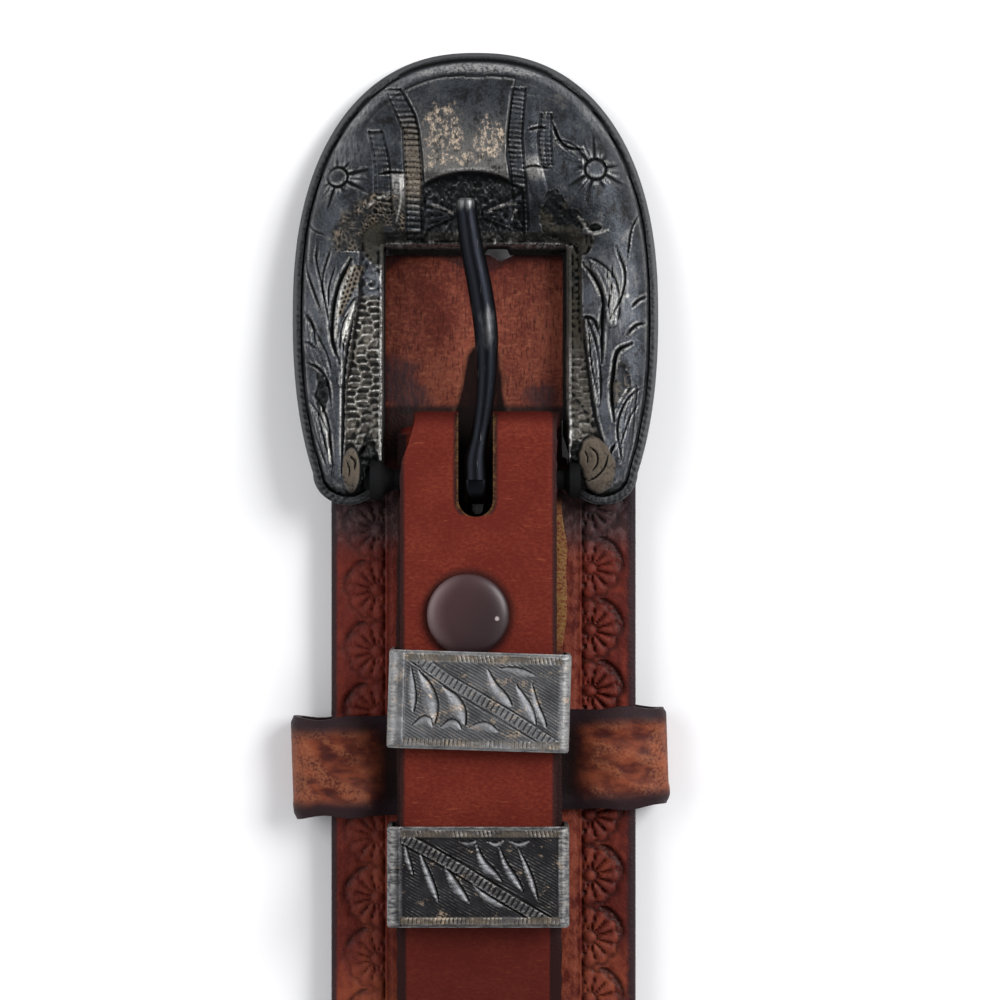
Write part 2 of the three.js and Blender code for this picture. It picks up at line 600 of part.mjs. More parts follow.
// Leather loop: a closed band round the wide strap that dips under the billet.
// The line is the band's inner face, from the middle of the bottom round to the top.
function strapLoop() {
  const inSide = STRAP_WIDTH / 2 + GAP;
  const reach = LOOP_REACH - LOOP_THICK;
  const low = strapLift - GAP;
  const high = strapTop + GAP;
  const dip = LOWER_WIDTH / 2 + 1.5;
  const side = (direction) => new THREE.CatmullRomCurve3([
    [0, low], [inSide * 0.6, low], [inSide, low], [mix(inSide, reach, 0.75), mix(low, high, 0.12)],
    [reach, mix(low, high, 0.5)], [mix(inSide, reach, 0.75), high + LOOP_SWELL * 0.3],
    [inSide * 0.95, high + LOOP_SWELL], [inSide * 0.8, high + LOOP_SWELL],
    [dip, high], [dip * 0.6, high], [0, high],
  ].map(([x, z]) => new THREE.Vector3(direction * x, 0, z)), false, 'centripetal').getPoints(34);
  const inner = [...side(1), ...side(-1).reverse().slice(1, -1)];
  const outer = inner.map((point, i) => {
    const before = inner[(i + inner.length - 1) % inner.length];
    const after = inner[(i + 1) % inner.length];
    const along = after.clone().sub(before).normalize();
    const z = Math.max(0, point.z - along.x * LOOP_THICK);
    return new THREE.Vector2(point.x + along.z * LOOP_THICK, z);
  });
  const shape = new THREE.Shape(outer);
  shape.holes.push(new THREE.Path(inner.map((p) => new THREE.Vector2(p.x, p.z)).reverse()));
  return extrude(shape, LOOP_WIDTH).translate(0, 0, -LOOP_WIDTH / 2).rotateX(Math.PI / 2);
}

// Colours and finishes
const TOOLED_LEATHER = { color: 0x64231a, roughness: 0.5, metalness: 0 };
const PLAIN_LEATHER = { color: 0x783226, roughness: 0.55, metalness: 0 };
const LOOP_LEATHER = { color: 0x8c4b2d, roughness: 0.55, metalness: 0 };
const AGED_SILVER = { color: 0x8c939b, roughness: 0.35, metalness: 1 };
const DARK_STEEL = { color: 0x565a5e, roughness: 0.4, metalness: 1 };
const BROWN_CAP = { color: 0x583a3c, roughness: 0.35, metalness: 0.3 };

function piece(name, geometry, look) {
  const mesh = new THREE.Mesh(geometry, new THREE.MeshStandardMaterial(look));
  mesh.name = name;
  return mesh;
}

function place({ x, y, turn }, mesh) {
  mesh.position.set(x, y, 0);
  mesh.rotation.z = THREE.MathUtils.degToRad(turn);
  return mesh;
}

// Everything is made round the bar, then moved so that the belt's middle is the origin
const belt = new THREE.Group();
belt.position.y = -(FRAME_TOP_Y + tipY) / 2;
belt.add(
  piece('main_strap', mainStrap(), TOOLED_LEATHER),
  piece('buckle_billet', foldedBillet(), PLAIN_LEATHER),
  piece('tip_billet', tipBillet(), PLAIN_LEATHER),
  piece('buckle_frame', buckleFrame(), AGED_SILVER),
  piece('buckle_tongue', buckleTongue(), DARK_STEEL),
  piece('snap_fastener', snapFastener(), BROWN_CAP),
  place(UPPER_KEEPER, piece('keeper_upper', keeper(UPPER_KEEPER.length), AGED_SILVER)),
  place(LOWER_KEEPER, piece('keeper_lower', keeper(LOWER_KEEPER.length), AGED_SILVER)),
  place(LOOP_PLACE, piece('strap_loop', strapLoop(), LOOP_LEATHER)),
);

const root = new THREE.Group();
root.add(belt);
export default root;
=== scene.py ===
import json
from math import atan, pi, radians, tan

import bmesh
import bpy
import numpy as np
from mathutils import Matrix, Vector


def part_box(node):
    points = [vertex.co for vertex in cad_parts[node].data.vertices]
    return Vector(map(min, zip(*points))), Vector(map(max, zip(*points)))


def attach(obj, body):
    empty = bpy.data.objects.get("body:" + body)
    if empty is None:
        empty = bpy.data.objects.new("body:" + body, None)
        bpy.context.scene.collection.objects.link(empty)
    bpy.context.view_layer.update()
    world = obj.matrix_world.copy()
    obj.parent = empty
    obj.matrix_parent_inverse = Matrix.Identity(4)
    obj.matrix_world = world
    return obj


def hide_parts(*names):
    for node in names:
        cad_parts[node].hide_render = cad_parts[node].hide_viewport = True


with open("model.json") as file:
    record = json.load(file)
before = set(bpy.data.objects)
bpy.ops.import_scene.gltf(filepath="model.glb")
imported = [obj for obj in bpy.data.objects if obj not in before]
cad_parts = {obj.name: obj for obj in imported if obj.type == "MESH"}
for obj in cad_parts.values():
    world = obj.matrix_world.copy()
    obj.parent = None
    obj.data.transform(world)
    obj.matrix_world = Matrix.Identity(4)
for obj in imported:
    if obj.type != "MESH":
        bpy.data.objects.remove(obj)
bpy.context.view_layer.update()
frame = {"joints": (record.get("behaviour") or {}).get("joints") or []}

# The wide strap
# Cowhide 3 mm thick, dyed red-brown. Both margins are stamped with a row of half daisies between a
# groove line and the edge, and the edges are bevelled and rubbed nearly black.
MM = 0.001
BAR_Y, BAR_Z = (value / MM for value in frame["joints"][0]["pos_m"][1:])
strap_low, strap_high = (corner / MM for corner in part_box("main_strap"))
STRAP_HALF = (strap_high.x - strap_low.x) / 2
STRAP_THICK = 3.0
STRAP_TOP = strap_high.z
STRAP_LIFT = STRAP_TOP - STRAP_THICK
STRAP_END_Y = strap_low.y - BAR_Y
SHOULDER_Y = 2.0
TAIL_END_Y = strap_high.y - BAR_Y
TAIL_MIDDLE, TAIL_HALF, TAIL_SKIVE, SKIVE_Y = -1.0, 11.8, 1.0, 12.0
RAMP_TOP_Y, RAMP_LENGTH = -58.75, 50.0
PITCH = 7.69
FLOWER_X, FLOWER_RADIUS, PETALS, SPREAD = 13.3, 3.35, 7, 218
RIGHT_HUB_Y, LEFT_HUB_Y = -49.5, -52.2
GROOVE_X = 12.35


def ease(a, b, value):
    """Smooth step from 0 at a to 1 at b."""
    t = np.clip((value - a) / (b - a), 0, 1)
    return t * t * (3 - 2 * t)


def mix(a, b, t):
    return a + (b - a) * t


def strap_under(y):
    """Underside of the wide strap, which lies over the loop and eases down to the floor both ways."""
    down = ease(RAMP_TOP_Y, RAMP_TOP_Y - RAMP_LENGTH, y)
    return STRAP_LIFT * (1 - down) * (1 - ease(SHOULDER_Y, TAIL_END_Y, y))


def lattice(x, y, cell, seed):
    """Soft noise from -1 to 1 with bumps about one cell across, the same on every run."""
    u, v = np.asarray(x) / cell, np.asarray(y) / cell
    i, j = np.floor(u).astype(int), np.floor(v).astype(int)
    fu, fv = u - i, v - j
    fu, fv = fu * fu * (3 - 2 * fu), fv * fv * (3 - 2 * fv)

    def corner(a, b):
        wave = np.sin(a * 127.1 + b * 311.7 + seed * 74.7) * 43758.5453
        return 2 * (wave - np.floor(wave)) - 1

    low = mix(corner(i, j), corner(i + 1, j), fu)
    return mix(low, mix(corner(i, j + 1), corner(i + 1, j + 1), fu), fv)


def daisies(x, y):
    """Depth in mm of the stamped margins, 0 on the bare surface and negative in the cuts."""
    right = x > 0
    hub_y = np.where(right, RIGHT_HUB_Y, LEFT_HUB_Y)
    number = np.round((y - hub_y) / PITCH)
    out = np.abs(x) - FLOWER_X
    up = y - hub_y - number * PITCH
    radius, angle = np.hypot(out, up), np.arctan2(up, out)
    petal = angle / radians(SPREAD / PETALS)
    side = np.abs(petal - np.round(petal))
    inside = np.abs(angle) < radians(SPREAD / 2)
    tip = FLOWER_RADIUS * (1.03 - 0.55 * side ** 2)
    gap = ease(0.24, 0.47, side) * ease(0.7, 1.2, radius) * ease(tip + 0.2, tip - 0.5, radius)
    lobe = (1 - (2 * side) ** 2) * ease(0.9, 1.9, radius) * ease(tip, tip - 1.0, radius)
    rim = ease(-0.05, 0.2, radius - tip) * ease(1.15, 0.3, radius - tip)
    button = ease(0.38, 0.0, np.abs(radius - 0.8))
    crown = 0.1 * ease(1.0, 0.0, radius / 0.8)
    depth = np.where(inside, 0.11 * lobe - 0.46 * gap - 0.36 * rim, 0) - 0.34 * button + crown
    frame_cut = ease(0.42, 0.05, np.abs(radius - FLOWER_RADIUS - 0.85))
    depth -= 0.5 * frame_cut * ease(-0.25, 0.35, angle) * ease(2.1, 1.6, angle)
    groove = ease(0.26, 0.04, np.abs(np.abs(x) - GROOVE_X))
    double = ease(0.16, 0.02, np.abs(np.abs(x) - GROOVE_X + 0.6))
    worn = np.where(right, 0.95, 0.62) + 0.15 * lattice(x, y, 6.0, 3)
    return worn * depth - 0.26 * groove - 0.1 * double


def place(points):
    """Millimetres measured from the bar, as metres in the belt's own frame."""
    return (np.asarray(points, float) + (0, BAR_Y, 0)) * MM


def sleeve(name, rings, closed=False, **marks):
    """A grid primitive rolled round these rings of points. Its ends are filled, or meet if closed.
    marks are named values for each point of the rings."""
    def wrap(values):
        values = np.concatenate([values, values[:, :1]], axis=1)
        return np.concatenate([values, values[:1]]) if closed else values

    rolled = wrap(np.asarray(rings, float))
    rows, around = rolled.shape[:2]
    bpy.ops.object.select_all(action="DESELECT")
    bpy.ops.mesh.primitive_grid_add(x_subdivisions=around - 1, y_subdivisions=rows - 1, size=1)
    piece = bpy.context.object
    piece.name = name
    piece.data.vertices.foreach_set("co", place(rolled).ravel())
    marked(piece, **{key: wrap(value).ravel() for key, value in marks.items()})
    close_up(piece)
    return piece


def close_up(piece):
    """Merges what touches, fills the holes and turns the faces outwards."""
    activate(piece)
    bpy.ops.object.mode_set(mode="EDIT")
    bpy.ops.mesh.select_all(action="SELECT")
    bpy.ops.mesh.remove_doubles(threshold=1e-7)
    bpy.ops.mesh.select_all(action="DESELECT")
    bpy.ops.mesh.select_non_manifold()
    bpy.ops.mesh.fill_holes(sides=0)
    bpy.ops.mesh.select_all(action="SELECT")
    bpy.ops.mesh.normals_make_consistent(inside=False)
    bpy.ops.object.mode_set(mode="OBJECT")
    bpy.ops.object.shade_smooth()


def marked(piece, **values):
    """Stores named values, one for each vertex, for the finishes to read."""
    for name, value in values.items():
        layer = piece.data.attributes.get(name) or piece.data.attributes.new(name, "FLOAT", "POINT")
        layer.data.foreach_set("value", np.asarray(value, np.float32))


def activate(piece):
    bpy.ops.object.select_all(action="DESELECT")
    piece.select_set(True)
    bpy.context.view_layer.objects.active = piece


def finish_modifier(piece, kind, **settings):
    """Adds a modifier with these settings and applies it."""
    activate(piece)
    modifier = piece.modifiers.new(kind, kind)
    for key, value in settings.items():
        setattr(modifier, key, value)
    bpy.ops.object.modifier_apply(modifier=modifier.name)


def smooth_by_angle(piece, degrees=40):
    activate(piece)
    bpy.ops.object.shade_smooth_by_angle(angle=radians(degrees))


def prism(outline, low=-5.0, high=30.0, top=None):
    """An upright cutter over a plan outline in millimetres, which may change to a second one at its top."""
    ends = [np.column_stack([edge, np.full(len(edge), z)])
            for edge, z in ((outline, low), (outline if top is None else top, high))]
    return sleeve("cutter", np.array(ends))


def carve(piece, cutter, operation="DIFFERENCE"):
    """Cuts piece with cutter, or joins them, and removes the cutter."""
    finish_modifier(piece, "BOOLEAN", object=cutter, operation=operation, solver="MANIFOLD")
    bpy.data.objects.remove(cutter)


def smooth_line(points, step=0.25):
    """Points about a step apart on a smooth curve through these points, in any number of axes."""
    points = np.asarray(points, float)
    padded = np.concatenate([2 * points[:1] - points[1:2], points, 2 * points[-1:] - points[-2:-1]])
    made = []
    for a, b, c, d in zip(padded, padded[1:], padded[2:], padded[3:]):
        for t in np.linspace(0, 1, max(2, int(np.linalg.norm(c - b) / step)), endpoint=False):
            made.append(0.5 * (2 * b + (c - a) * t + (2 * a - 5 * b + 4 * c - d) * t ** 2
                               + (3 * b - a - 3 * c + d) * t ** 3))
    return np.array(made + [points[-1]])


def stadium(x, half, low, high, steps=12):
    """Plan outline of a slot with round ends."""
    turn = np.linspace(0, pi, steps)
    top = np.stack([x + half * np.cos(turn), high - half + half * np.sin(turn)], axis=1)
    return np.concatenate([top, np.stack([2 * x - top[:, 0], low + high - top[:, 1]], axis=1)])


def vertices_of(piece):
    """The vertices in millimetres from the bar, as three arrays."""
    flat = np.empty(len(piece.data.vertices) * 3, np.float32)
    piece.data.vertices.foreach_get("co", flat)
    return (flat.reshape(-1, 3) / MM - (0, BAR_Y, 0)).T


def relief_marks(piece, reach=6, name="ridge"):
    """Stores by name how many mm each vertex stands above its neighbourhood, negative in a cut."""
    mesh = piece.data
    ends = np.empty(len(mesh.edges) * 2, int)
    mesh.edges.foreach_get("vertices", ends)
    a, b = ends.reshape(-1, 2).T
    points = np.array(vertices_of(piece)).T
    normals = np.empty(points.size, np.float32)
    mesh.vertex_normals.foreach_get("vector", normals)
    count = len(points)
    share = np.maximum(np.bincount(a, None, count) + np.bincount(b, None, count), 1)
    soft = points.copy()
    for _ in range(reach):
        total = [np.bincount(a, soft[b, k], count) + np.bincount(b, soft[a, k], count) for k in range(3)]
        soft = 0.4 * soft + 0.6 * (np.array(total) / share).T
    marked(piece, **{name: ((points - soft) * normals.reshape(-1, 3)).sum(axis=1)})


def strap_rings(ys, xs_left, xs_right, columns, top, low, round_edge):
    """Rings for a flat strap: top(x, y) above and low(y) below, with both upper edges rounded."""
    rings = []
    for y, left, right in zip(ys, xs_left, xs_right):
        x = mix(left, right, columns)
        side = np.minimum(x - left, right - x)
        drop = round_edge - np.sqrt(np.maximum(0, round_edge ** 2 - np.maximum(0, round_edge - side) ** 2))
        z = top(x, y) - drop
        under = low(y)
        ring = np.stack([x, np.full_like(x, y), z], axis=1)
        tuck = round_edge * 0.5
        bottom = [(right, y, under + tuck), (right - tuck, y, under), (left + tuck, y, under),
                  (left, y, under + tuck)]
        rings.append(np.concatenate([ring, bottom]))
    return np.array(rings)


SLOT_X, SLOT_LOW_Y, SLOT_HIGH_Y = -0.75, -4.3, 16.8
SLOT_SLIT, SLOT_TOP, SLOT_FLOOR, SLOT_REACH = 0.1, 5.3, 1.3, STRAP_TOP + 1
near = np.arange(SHOULDER_Y, -70.0, -0.22)
far = np.linspace(near[-1] - 0.6, STRAP_END_Y, 900)
rows = np.concatenate([near, far])
margin = np.linspace(GROOVE_X - 0.9, STRAP_HALF - 0.35, 25)
inner = np.linspace(0, GROOVE_X - 1.2, 7)
half_columns = np.concatenate([inner, margin, STRAP_HALF - 0.35 + np.array([0.15, 0.27, 0.35])])
columns = np.concatenate([-half_columns[:0:-1], half_columns]) / (2 * STRAP_HALF) + 0.5


def strap_top(x, y):
    wear = 0.05 * lattice(x, y, 9.0, 1) + 0.02 * lattice(x, y, 2.2, 2)
    return strap_under(y) + STRAP_THICK + daisies(x, y) * ease(STRAP_HALF, STRAP_HALF - 0.6, np.abs(x)) \
        + wear * ease(STRAP_HALF, STRAP_HALF - 1, np.abs(x)) - 0.06


corner = 6.0
ends = np.clip((corner - (rows - STRAP_END_Y)) / corner, 0, 1)
half_width = STRAP_HALF - corner * (1 - np.sqrt(1 - ends ** 2)) * 0.98
main_strap = sleeve("tooled_strap", strap_rings(
    rows, -half_width, half_width, columns, strap_top, strap_under, 0.75))

# The tail is the same strap cut down to a slotted tongue that lies behind the buckle's window. Past the line where its
# end turns down it is painted dark as painted shade.
end_line = np.array([(-13.6, 28.0), (-11.0, 28.38), (0.6, 28.38), (1.5, 27.95), (2.2, 27.5), (3.2, 28.05), (4.0, 28.38), (11.6, 28.38)])
end_outline = [*end_line, (11.6, 8.4), (9.8, 7.4), (9.8, 2.9), (11.6, 2.2), (11.6, -9), (-13.6, -9)]
shaded_end_line = smooth_line([(-13.6, 26.2), (-12.0, 26.6), (-10.9, 27.6), (-9.0, 28.1), (-5.5, 28.0), (-4.0, 27.5), (-2.6, 26.8),
                        (-1.0, 26.4), (0.4, 26.5), (1.6, 26.9), (3.3, 27.8), (5.5, 28.1), (11.6, 28.0)])


def end_top(x):
    """Where the worn end of the tail turns down, as a height above the bar. Past it the tail is painted dark as painted
    shade.
    """
    return np.interp(x, shaded_end_line[:, 0], shaded_end_line[:, 1])


tail_rows = np.arange(SHOULDER_Y - 1.5, TAIL_END_Y + 1, 0.4)
tail_columns = np.linspace(0, 1, 50)


def pared(y):
    return TAIL_SKIVE * ease(SHOULDER_Y, SKIVE_Y, y)


def tail_top(x, y):
    crease = 0.14 * ease(0.5, 0.0, np.abs(x - mix(-9.0, -8.6, y / 20)))
    fold = 0.28 * ease(1.0, 0.0, np.abs((x + 6.5) - 0.9 * (y - 12) / 1.2) / 0.8) * ease(9, 11, y) * ease(17, 14, y)
    free = ease(TAIL_HALF, TAIL_HALF - 1.5, np.abs(x - TAIL_MIDDLE))
    wrinkle = 0.10 * lattice(x * 1.6, y * 0.5, 1.5, 7) * ease(5, 7, x) * ease(17, 12, y)
    wear = free * (0.05 * lattice(x, y, 5.0, 5) + 0.03 * lattice(x, y, 1.1, 6) + wrinkle)
    dip = 0.5 * ease(1.2, -0.8, end_top(x) - y)
    return strap_under(y) + STRAP_THICK - 0.1 - pared(y) + wear + fold - crease - dip


ones = np.ones_like(tail_rows)
tail = sleeve("tail", strap_rings(
    tail_rows, (TAIL_MIDDLE - TAIL_HALF) * ones, (TAIL_MIDDLE + TAIL_HALF) * ones, tail_columns,
    tail_top, lambda y: strap_under(y) + 0.01, 0.5))
carve(tail, prism(end_outline), "INTERSECT")
carve(main_strap, tail, "UNION")


def slot_outline(half):
    outline = stadium(SLOT_X, half, SLOT_LOW_Y, SLOT_HIGH_Y)
    outline[:, 0] += slot_bend(outline[:, 1])
    return outline


def slot_bend(y):
    """How far the slot's middle leans to the right at y."""
    return 0.7 * ease(2, 14, y)


carve(main_strap, prism(slot_outline(SLOT_SLIT), SLOT_FLOOR, SLOT_REACH, slot_outline(SLOT_TOP)))
carve(main_strap, prism(slot_outline(SLOT_SLIT), -1.0, SLOT_FLOOR + 0.1))


def edge_of_strap(x, y):
    """Distance in from the wide strap's edge, or from the tail's."""
    on_tail = y > SHOULDER_Y + 0.05
    tail_side = TAIL_HALF - np.abs(x - TAIL_MIDDLE)
    return np.where(on_tail, np.minimum(tail_side + 0.4, end_top(x) - y + 0.6), STRAP_HALF - np.abs(x))


def blotch_mask(x, y, *blobs, soft=0.12):
    """1 inside any of the ragged ovals (middle x, middle y, half width, half height), 0 outside."""
    ragged = 0.22 * lattice(x, y, 1.3, 27) + 0.12 * lattice(x, y, 0.5, 28)
    away = [np.hypot((x - cx) / rx, (y - cy) / ry) for cx, cy, rx, ry in blobs]
    return ease(1 + soft, 1 - soft, np.min(away, axis=0) + ragged)


x, y, z = vertices_of(main_strap)
on_top = ease(1.2, 0.7, strap_under(y) + STRAP_THICK - z)
cut = np.clip(-daisies(x, y) / 0.4, 0, 1) * on_top * (y < SHOULDER_Y)
half_here = mix(SLOT_SLIT, SLOT_TOP, np.clip((z - SLOT_FLOOR) / (SLOT_REACH - SLOT_FLOOR), 0, 1))
along = np.clip(y, SLOT_LOW_Y + half_here, SLOT_HIGH_Y - half_here)
from_slot = np.hypot(x - SLOT_X - slot_bend(y), y - along) - half_here
surface = strap_under(y) + STRAP_THICK - pared(y)
# pit is painted shade: the slot and its walls are painted nearly black.
pit = ease(0.45, 0.1, from_slot)
on_top = np.maximum(on_top, ease(0.9, 0.5, surface - z))
marked(main_strap, cut=cut, face=on_top, pit=pit, raw=0.5 * ease(0.8, 0.4, from_slot) * (1 - pit),
       lobe=np.clip(daisies(x, y) / 0.1, 0, 1) * on_top * (y < SHOULDER_Y),
       edge=ease(np.where(x > 0, 2.3, 1.5), 0.2, edge_of_strap(x, y)),
       tail=ease(SHOULDER_Y - 2, SHOULDER_Y + 1, y),
       stain=np.maximum(blotch_mask(x, y, (-11.2, 12.6, 3.4, 3.2), (-9.4, 10.3, 3.4, 2.0), soft=0.5),
                        0.8 * blotch_mask(x + 0.3 * (y - 9), y, (8.0, 10.6, 2.8, 1.9), soft=0.5)))
smooth_by_angle(main_strap, 50)


class Wire:
    """A socket of one finish, so that shader maths reads as ordinary Python."""

    def __init__(self, finish, socket):
        self.finish, self.socket = finish, socket

    def maths(self, operation, *others):
        sockets = {i: value for i, value in enumerate(others)}
        return self.finish.node("ShaderNodeMath", {"operation": operation}, sockets)

    def __add__(self, other):
        return self.maths("ADD", self, other)

    def __sub__(self, other):
        return self.maths("SUBTRACT", self, other)

    def __rsub__(self, other):
        return self.maths("SUBTRACT", other, self)

    def __mul__(self, other):
        return self.maths("MULTIPLY", self, other)

    def __truediv__(self, other):
        return self.maths("DIVIDE", self, other)

    def __pow__(self, other):
        return self.maths("POWER", self, other)

    __radd__, __rmul__ = __add__, __mul__

    def between(self, low, high):
        """0 below low, 1 above high, smooth between. low may be the larger, which turns it round."""
        return self.finish.node(
            "ShaderNodeMapRange", {"interpolation_type": "SMOOTHSTEP"},
            {"Value": self, "From Min": low, "From Max": high})


class Finish:
    """A material built by node calls. Colours are linear, and sizes in millimetres."""

    def __init__(self, name, **uniform):
        self.material = bpy.data.materials.new(name)
        self.material.use_nodes = True
        self.tree = self.material.node_tree
        self.shader = self.tree.nodes["Principled BSDF"]
        for key, value in uniform.items():
            self.shader.inputs[key.replace("_", " ").title().replace("Ior", "IOR")].default_value = value
        self.spot = self.node("ShaderNodeTexCoord", out="Object")

    def node(self, kind, settings=None, sockets=None, out=0):
        made = self.tree.nodes.new(kind)
        for key, value in (settings or {}).items():
            if key == "stops":
                while len(made.color_ramp.elements) < len(value):
                    made.color_ramp.elements.new(1.0)
                for element, (at, tone) in zip(made.color_ramp.elements, value):
                    element.position, element.color = at, (*tone, 1)
            else:
                setattr(made, key, value)
        for key, value in (sockets or {}).items():
            if isinstance(value, Wire):
                self.tree.links.new(value.socket, made.inputs[key])
            else:
                made.inputs[key].default_value = value
        return Wire(self, made.outputs[out])

    def cloud(self, size, detail=3.0, stretch=(1, 1, 1), shift=0.0, rough=0.55):
        """Noise whose blobs are about size across, drawn out by stretch."""
        scale = tuple(1 / s for s in stretch)
        moved = self.node("ShaderNodeMapping", None, {
            "Vector": self.spot, "Scale": scale, "Location": (shift, shift * 0.7, shift * 0.3)})
        return self.node("ShaderNodeTexNoise", None, {
            "Vector": moved, "Scale": 1 / (size * MM), "Detail": detail, "Roughness": rough})

    def cells(self, size, feature="F1", stretch=(1, 1, 1)):
        """Distance inside random cells about size across."""
        moved = self.node("ShaderNodeMapping", None, {
            "Vector": self.spot, "Scale": tuple(1 / s for s in stretch)})
        return self.node("ShaderNodeTexVoronoi", {"feature": feature}, {
            "Vector": moved, "Scale": 1 / (size * MM)})

    def mark(self, name):
        return self.node("ShaderNodeAttribute", {"attribute_name": name}, out="Fac")

    def axis(self, name):
        return self.node("ShaderNodeSeparateXYZ", None, {"Vector": self.spot}, out=name)

    def tone(self, a, b, share):
        """Colour a where share is 0 and b where it is 1."""
        a, b = (value if isinstance(value, Wire) else (*value, 1) for value in (a, b))
        return self.node("ShaderNodeMix", {"data_type": "RGBA"}, {0: share, 6: a, 7: b}, out=2)

    def dress(self, piece, colour, roughness, height=None, depth=0.1, **more):
        """Joins the shader up and gives the finish to a piece. depth is the bump's height in mm."""
        sockets = {"Base Color": colour, "Roughness": roughness, **more}
        if height is not None:
            sockets["Normal"] = self.node("ShaderNodeBump", None, {
                "Height": height, "Distance": depth * MM, "Strength": 1.0})
        for key, value in sockets.items():
            if isinstance(value, Wire):
                self.tree.links.new(value.socket, self.shader.inputs[key])
            else:
                self.shader.inputs[key].default_value = value
        give(piece, self.material)


def give(piece, material):
    piece.data.materials.clear()
    piece.data.materials.append(material)


SADDLE_RED, SADDLE_LIGHT, SADDLE_DARK = (0.078, 0.010, 0.007), (0.175, 0.027, 0.016), (0.024, 0.004, 0.004)
BURNISH_AND_SHADE = (0.014, 0.009, 0.012)

tooled = Finish("tooled leather", specular_ior_level=0.13)
fibre = tooled.cloud(0.9, 5, (1, 1.6, 1))
blotch = tooled.cloud(9, 4, (1, 1.8, 1))
pores = tooled.cells(0.35)
wax = tooled.cloud(0.45, 5)
edge, cut, tail_mark = tooled.mark("edge"), tooled.mark("cut"), tooled.mark("tail")
sideways, lengthwise = tooled.axis("X"), tooled.axis("Y")
colour = tooled.tone(SADDLE_RED, SADDLE_LIGHT, (blotch * 0.7 + fibre * 0.6).between(0.50, 0.84))
colour = tooled.tone(colour, (0.155, 0.024, 0.017), sideways.between(-0.010, -0.013) * wax.between(0.3, 0.6) * 0.45)
colour = tooled.tone(colour, (0.20, 0.048, 0.020), lengthwise.between((BAR_Y - 38) * MM, (BAR_Y - 56) * MM)
                     * (blotch + fibre * 0.4).between(0.55, 0.85) * 0.75)
beside = sideways.between(0.0128, 0.0118) * sideways.between(0.0090, 0.0105)
colour = tooled.tone(colour, (0.24, 0.062, 0.036), beside * fibre.between(0.35, 0.65) * 0.6)
colour = tooled.tone(colour, (0.165, 0.036, 0.024), tooled.mark("lobe") * wax.between(0.3, 0.6) * 0.6)
colour = tooled.tone(colour, SADDLE_DARK, wax.between(0.58, 0.8) * 0.45)
colour = tooled.tone(colour, (0.020, 0.004, 0.003), cut.between(0.15, 1.0) * 0.75)
tail_colour = tooled.tone((0.090, 0.016, 0.010), (0.235, 0.062, 0.036), (wax * 0.4 + blotch * 0.7).between(0.44, 0.72))
scuffed = tooled.cloud(0.55, 5, (1.8, 0.8, 1), 4.2)
tail_colour = tooled.tone(tail_colour, (0.28, 0.095, 0.050), scuffed.between(0.50, 0.78) * blotch.between(0.36, 0.56) * 0.9)
brushed = tooled.cloud(0.7, 4, (0.35, 2.2, 1), 9.0)
tail_colour = tooled.tone(tail_colour, (0.040, 0.007, 0.005), brushed.between(0.52, 0.66) * 0.7)
colour = tooled.tone(colour, tail_colour, tail_mark)
streak = tooled.cloud(0.8, 4, (0.5, 2.5, 1), 6.0)
stain = tooled.mark("stain") * (streak * 1.0 + wax * 0.5)
colour = tooled.tone(colour, (0.022, 0.015, 0.020), (stain * tail_mark).between(0.1, 0.95) * 0.9)
fold_shadow = lengthwise.between((BAR_Y + 9.7) * MM, (BAR_Y + 8.9) * MM) * tail_mark
colour = tooled.tone(colour, (0.008, 0.004, 0.004), fold_shadow * 0.9)
smoke = lengthwise.between((BAR_Y - 13.5) * MM, (BAR_Y - 4) * MM) * (1 - tail_mark)
smoky = tooled.tone((0.026, 0.019, 0.021), (0.072, 0.052, 0.056), fibre.between(0.48, 0.66))
colour = tooled.tone(colour, smoky, (smoke * (0.55 + blotch * 0.8)).between(0.2, 0.95) * 0.85)
# Dark edges: burnished on the strap's edges, painted shade past the tail's turned-down end.
colour = tooled.tone(colour, BURNISH_AND_SHADE, (edge + wax * 0.35 - 0.15).between(0.40, 0.95) * (1 - tail_mark * 0.3) * 0.9)
colour = tooled.tone(colour, (0.110, 0.048, 0.020), tooled.mark("raw") * (fibre * 0.8 + wax * 0.6).between(0.45, 0.75))
# Painted shade: the slot is painted black.
colour = tooled.tone(colour, (0.005, 0.003, 0.003), tooled.mark("pit") * 0.97)
sheen = 0.42 + wax * 0.22 - cut * 0.1 + tooled.mark("pit") * 0.5
bumps = pores * -0.5 + wax * 0.6 + fibre * 0.35
tooled.dress(main_strap, colour, sheen, bumps, 0.09)
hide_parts("main_strap")
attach(main_strap, "strap")

# The billet
# A plain narrow strap 2 mm thick. It folds round the buckle's bar and comes back down on itself,
# held by a snap, the two keepers and two rows of stitches at its lower end. Its cut edges are raw.
BILLET_THICK = 2.0
BILLET_MIDDLE, BILLET_HALF = -0.6, 9.65
UNDER_MIDDLE, UNDER_HALF = -0.5, 10.2
AT_BAR, OVER_LOOP, LAYER_GAP = 5.1, 7.75, 0.3
SLOT_END_Y, LEVEL_Y, UPPER_END_Y, LOWER_END_Y = -4.6, -14.25, -53.4, -100.0
FOLD_Y, FOLD_IN, FOLD_OUT = 5.05, 1.45, 3.45
TONGUE_X = -0.95


def billet_under(y):
    rise = mix(AT_BAR, OVER_LOOP, ease(SLOT_END_Y, LEVEL_Y, y))
    on_strap = strap_under(y) + STRAP_THICK + LAYER_GAP
    return mix(rise, on_strap, ease(RAMP_TOP_Y + 2, RAMP_TOP_Y - 10, y))


def upper_under(y):
    return mix(BAR_Z + FOLD_IN, OVER_LOOP + BILLET_THICK + LAYER_GAP, ease(SLOT_END_Y, LEVEL_Y, y))


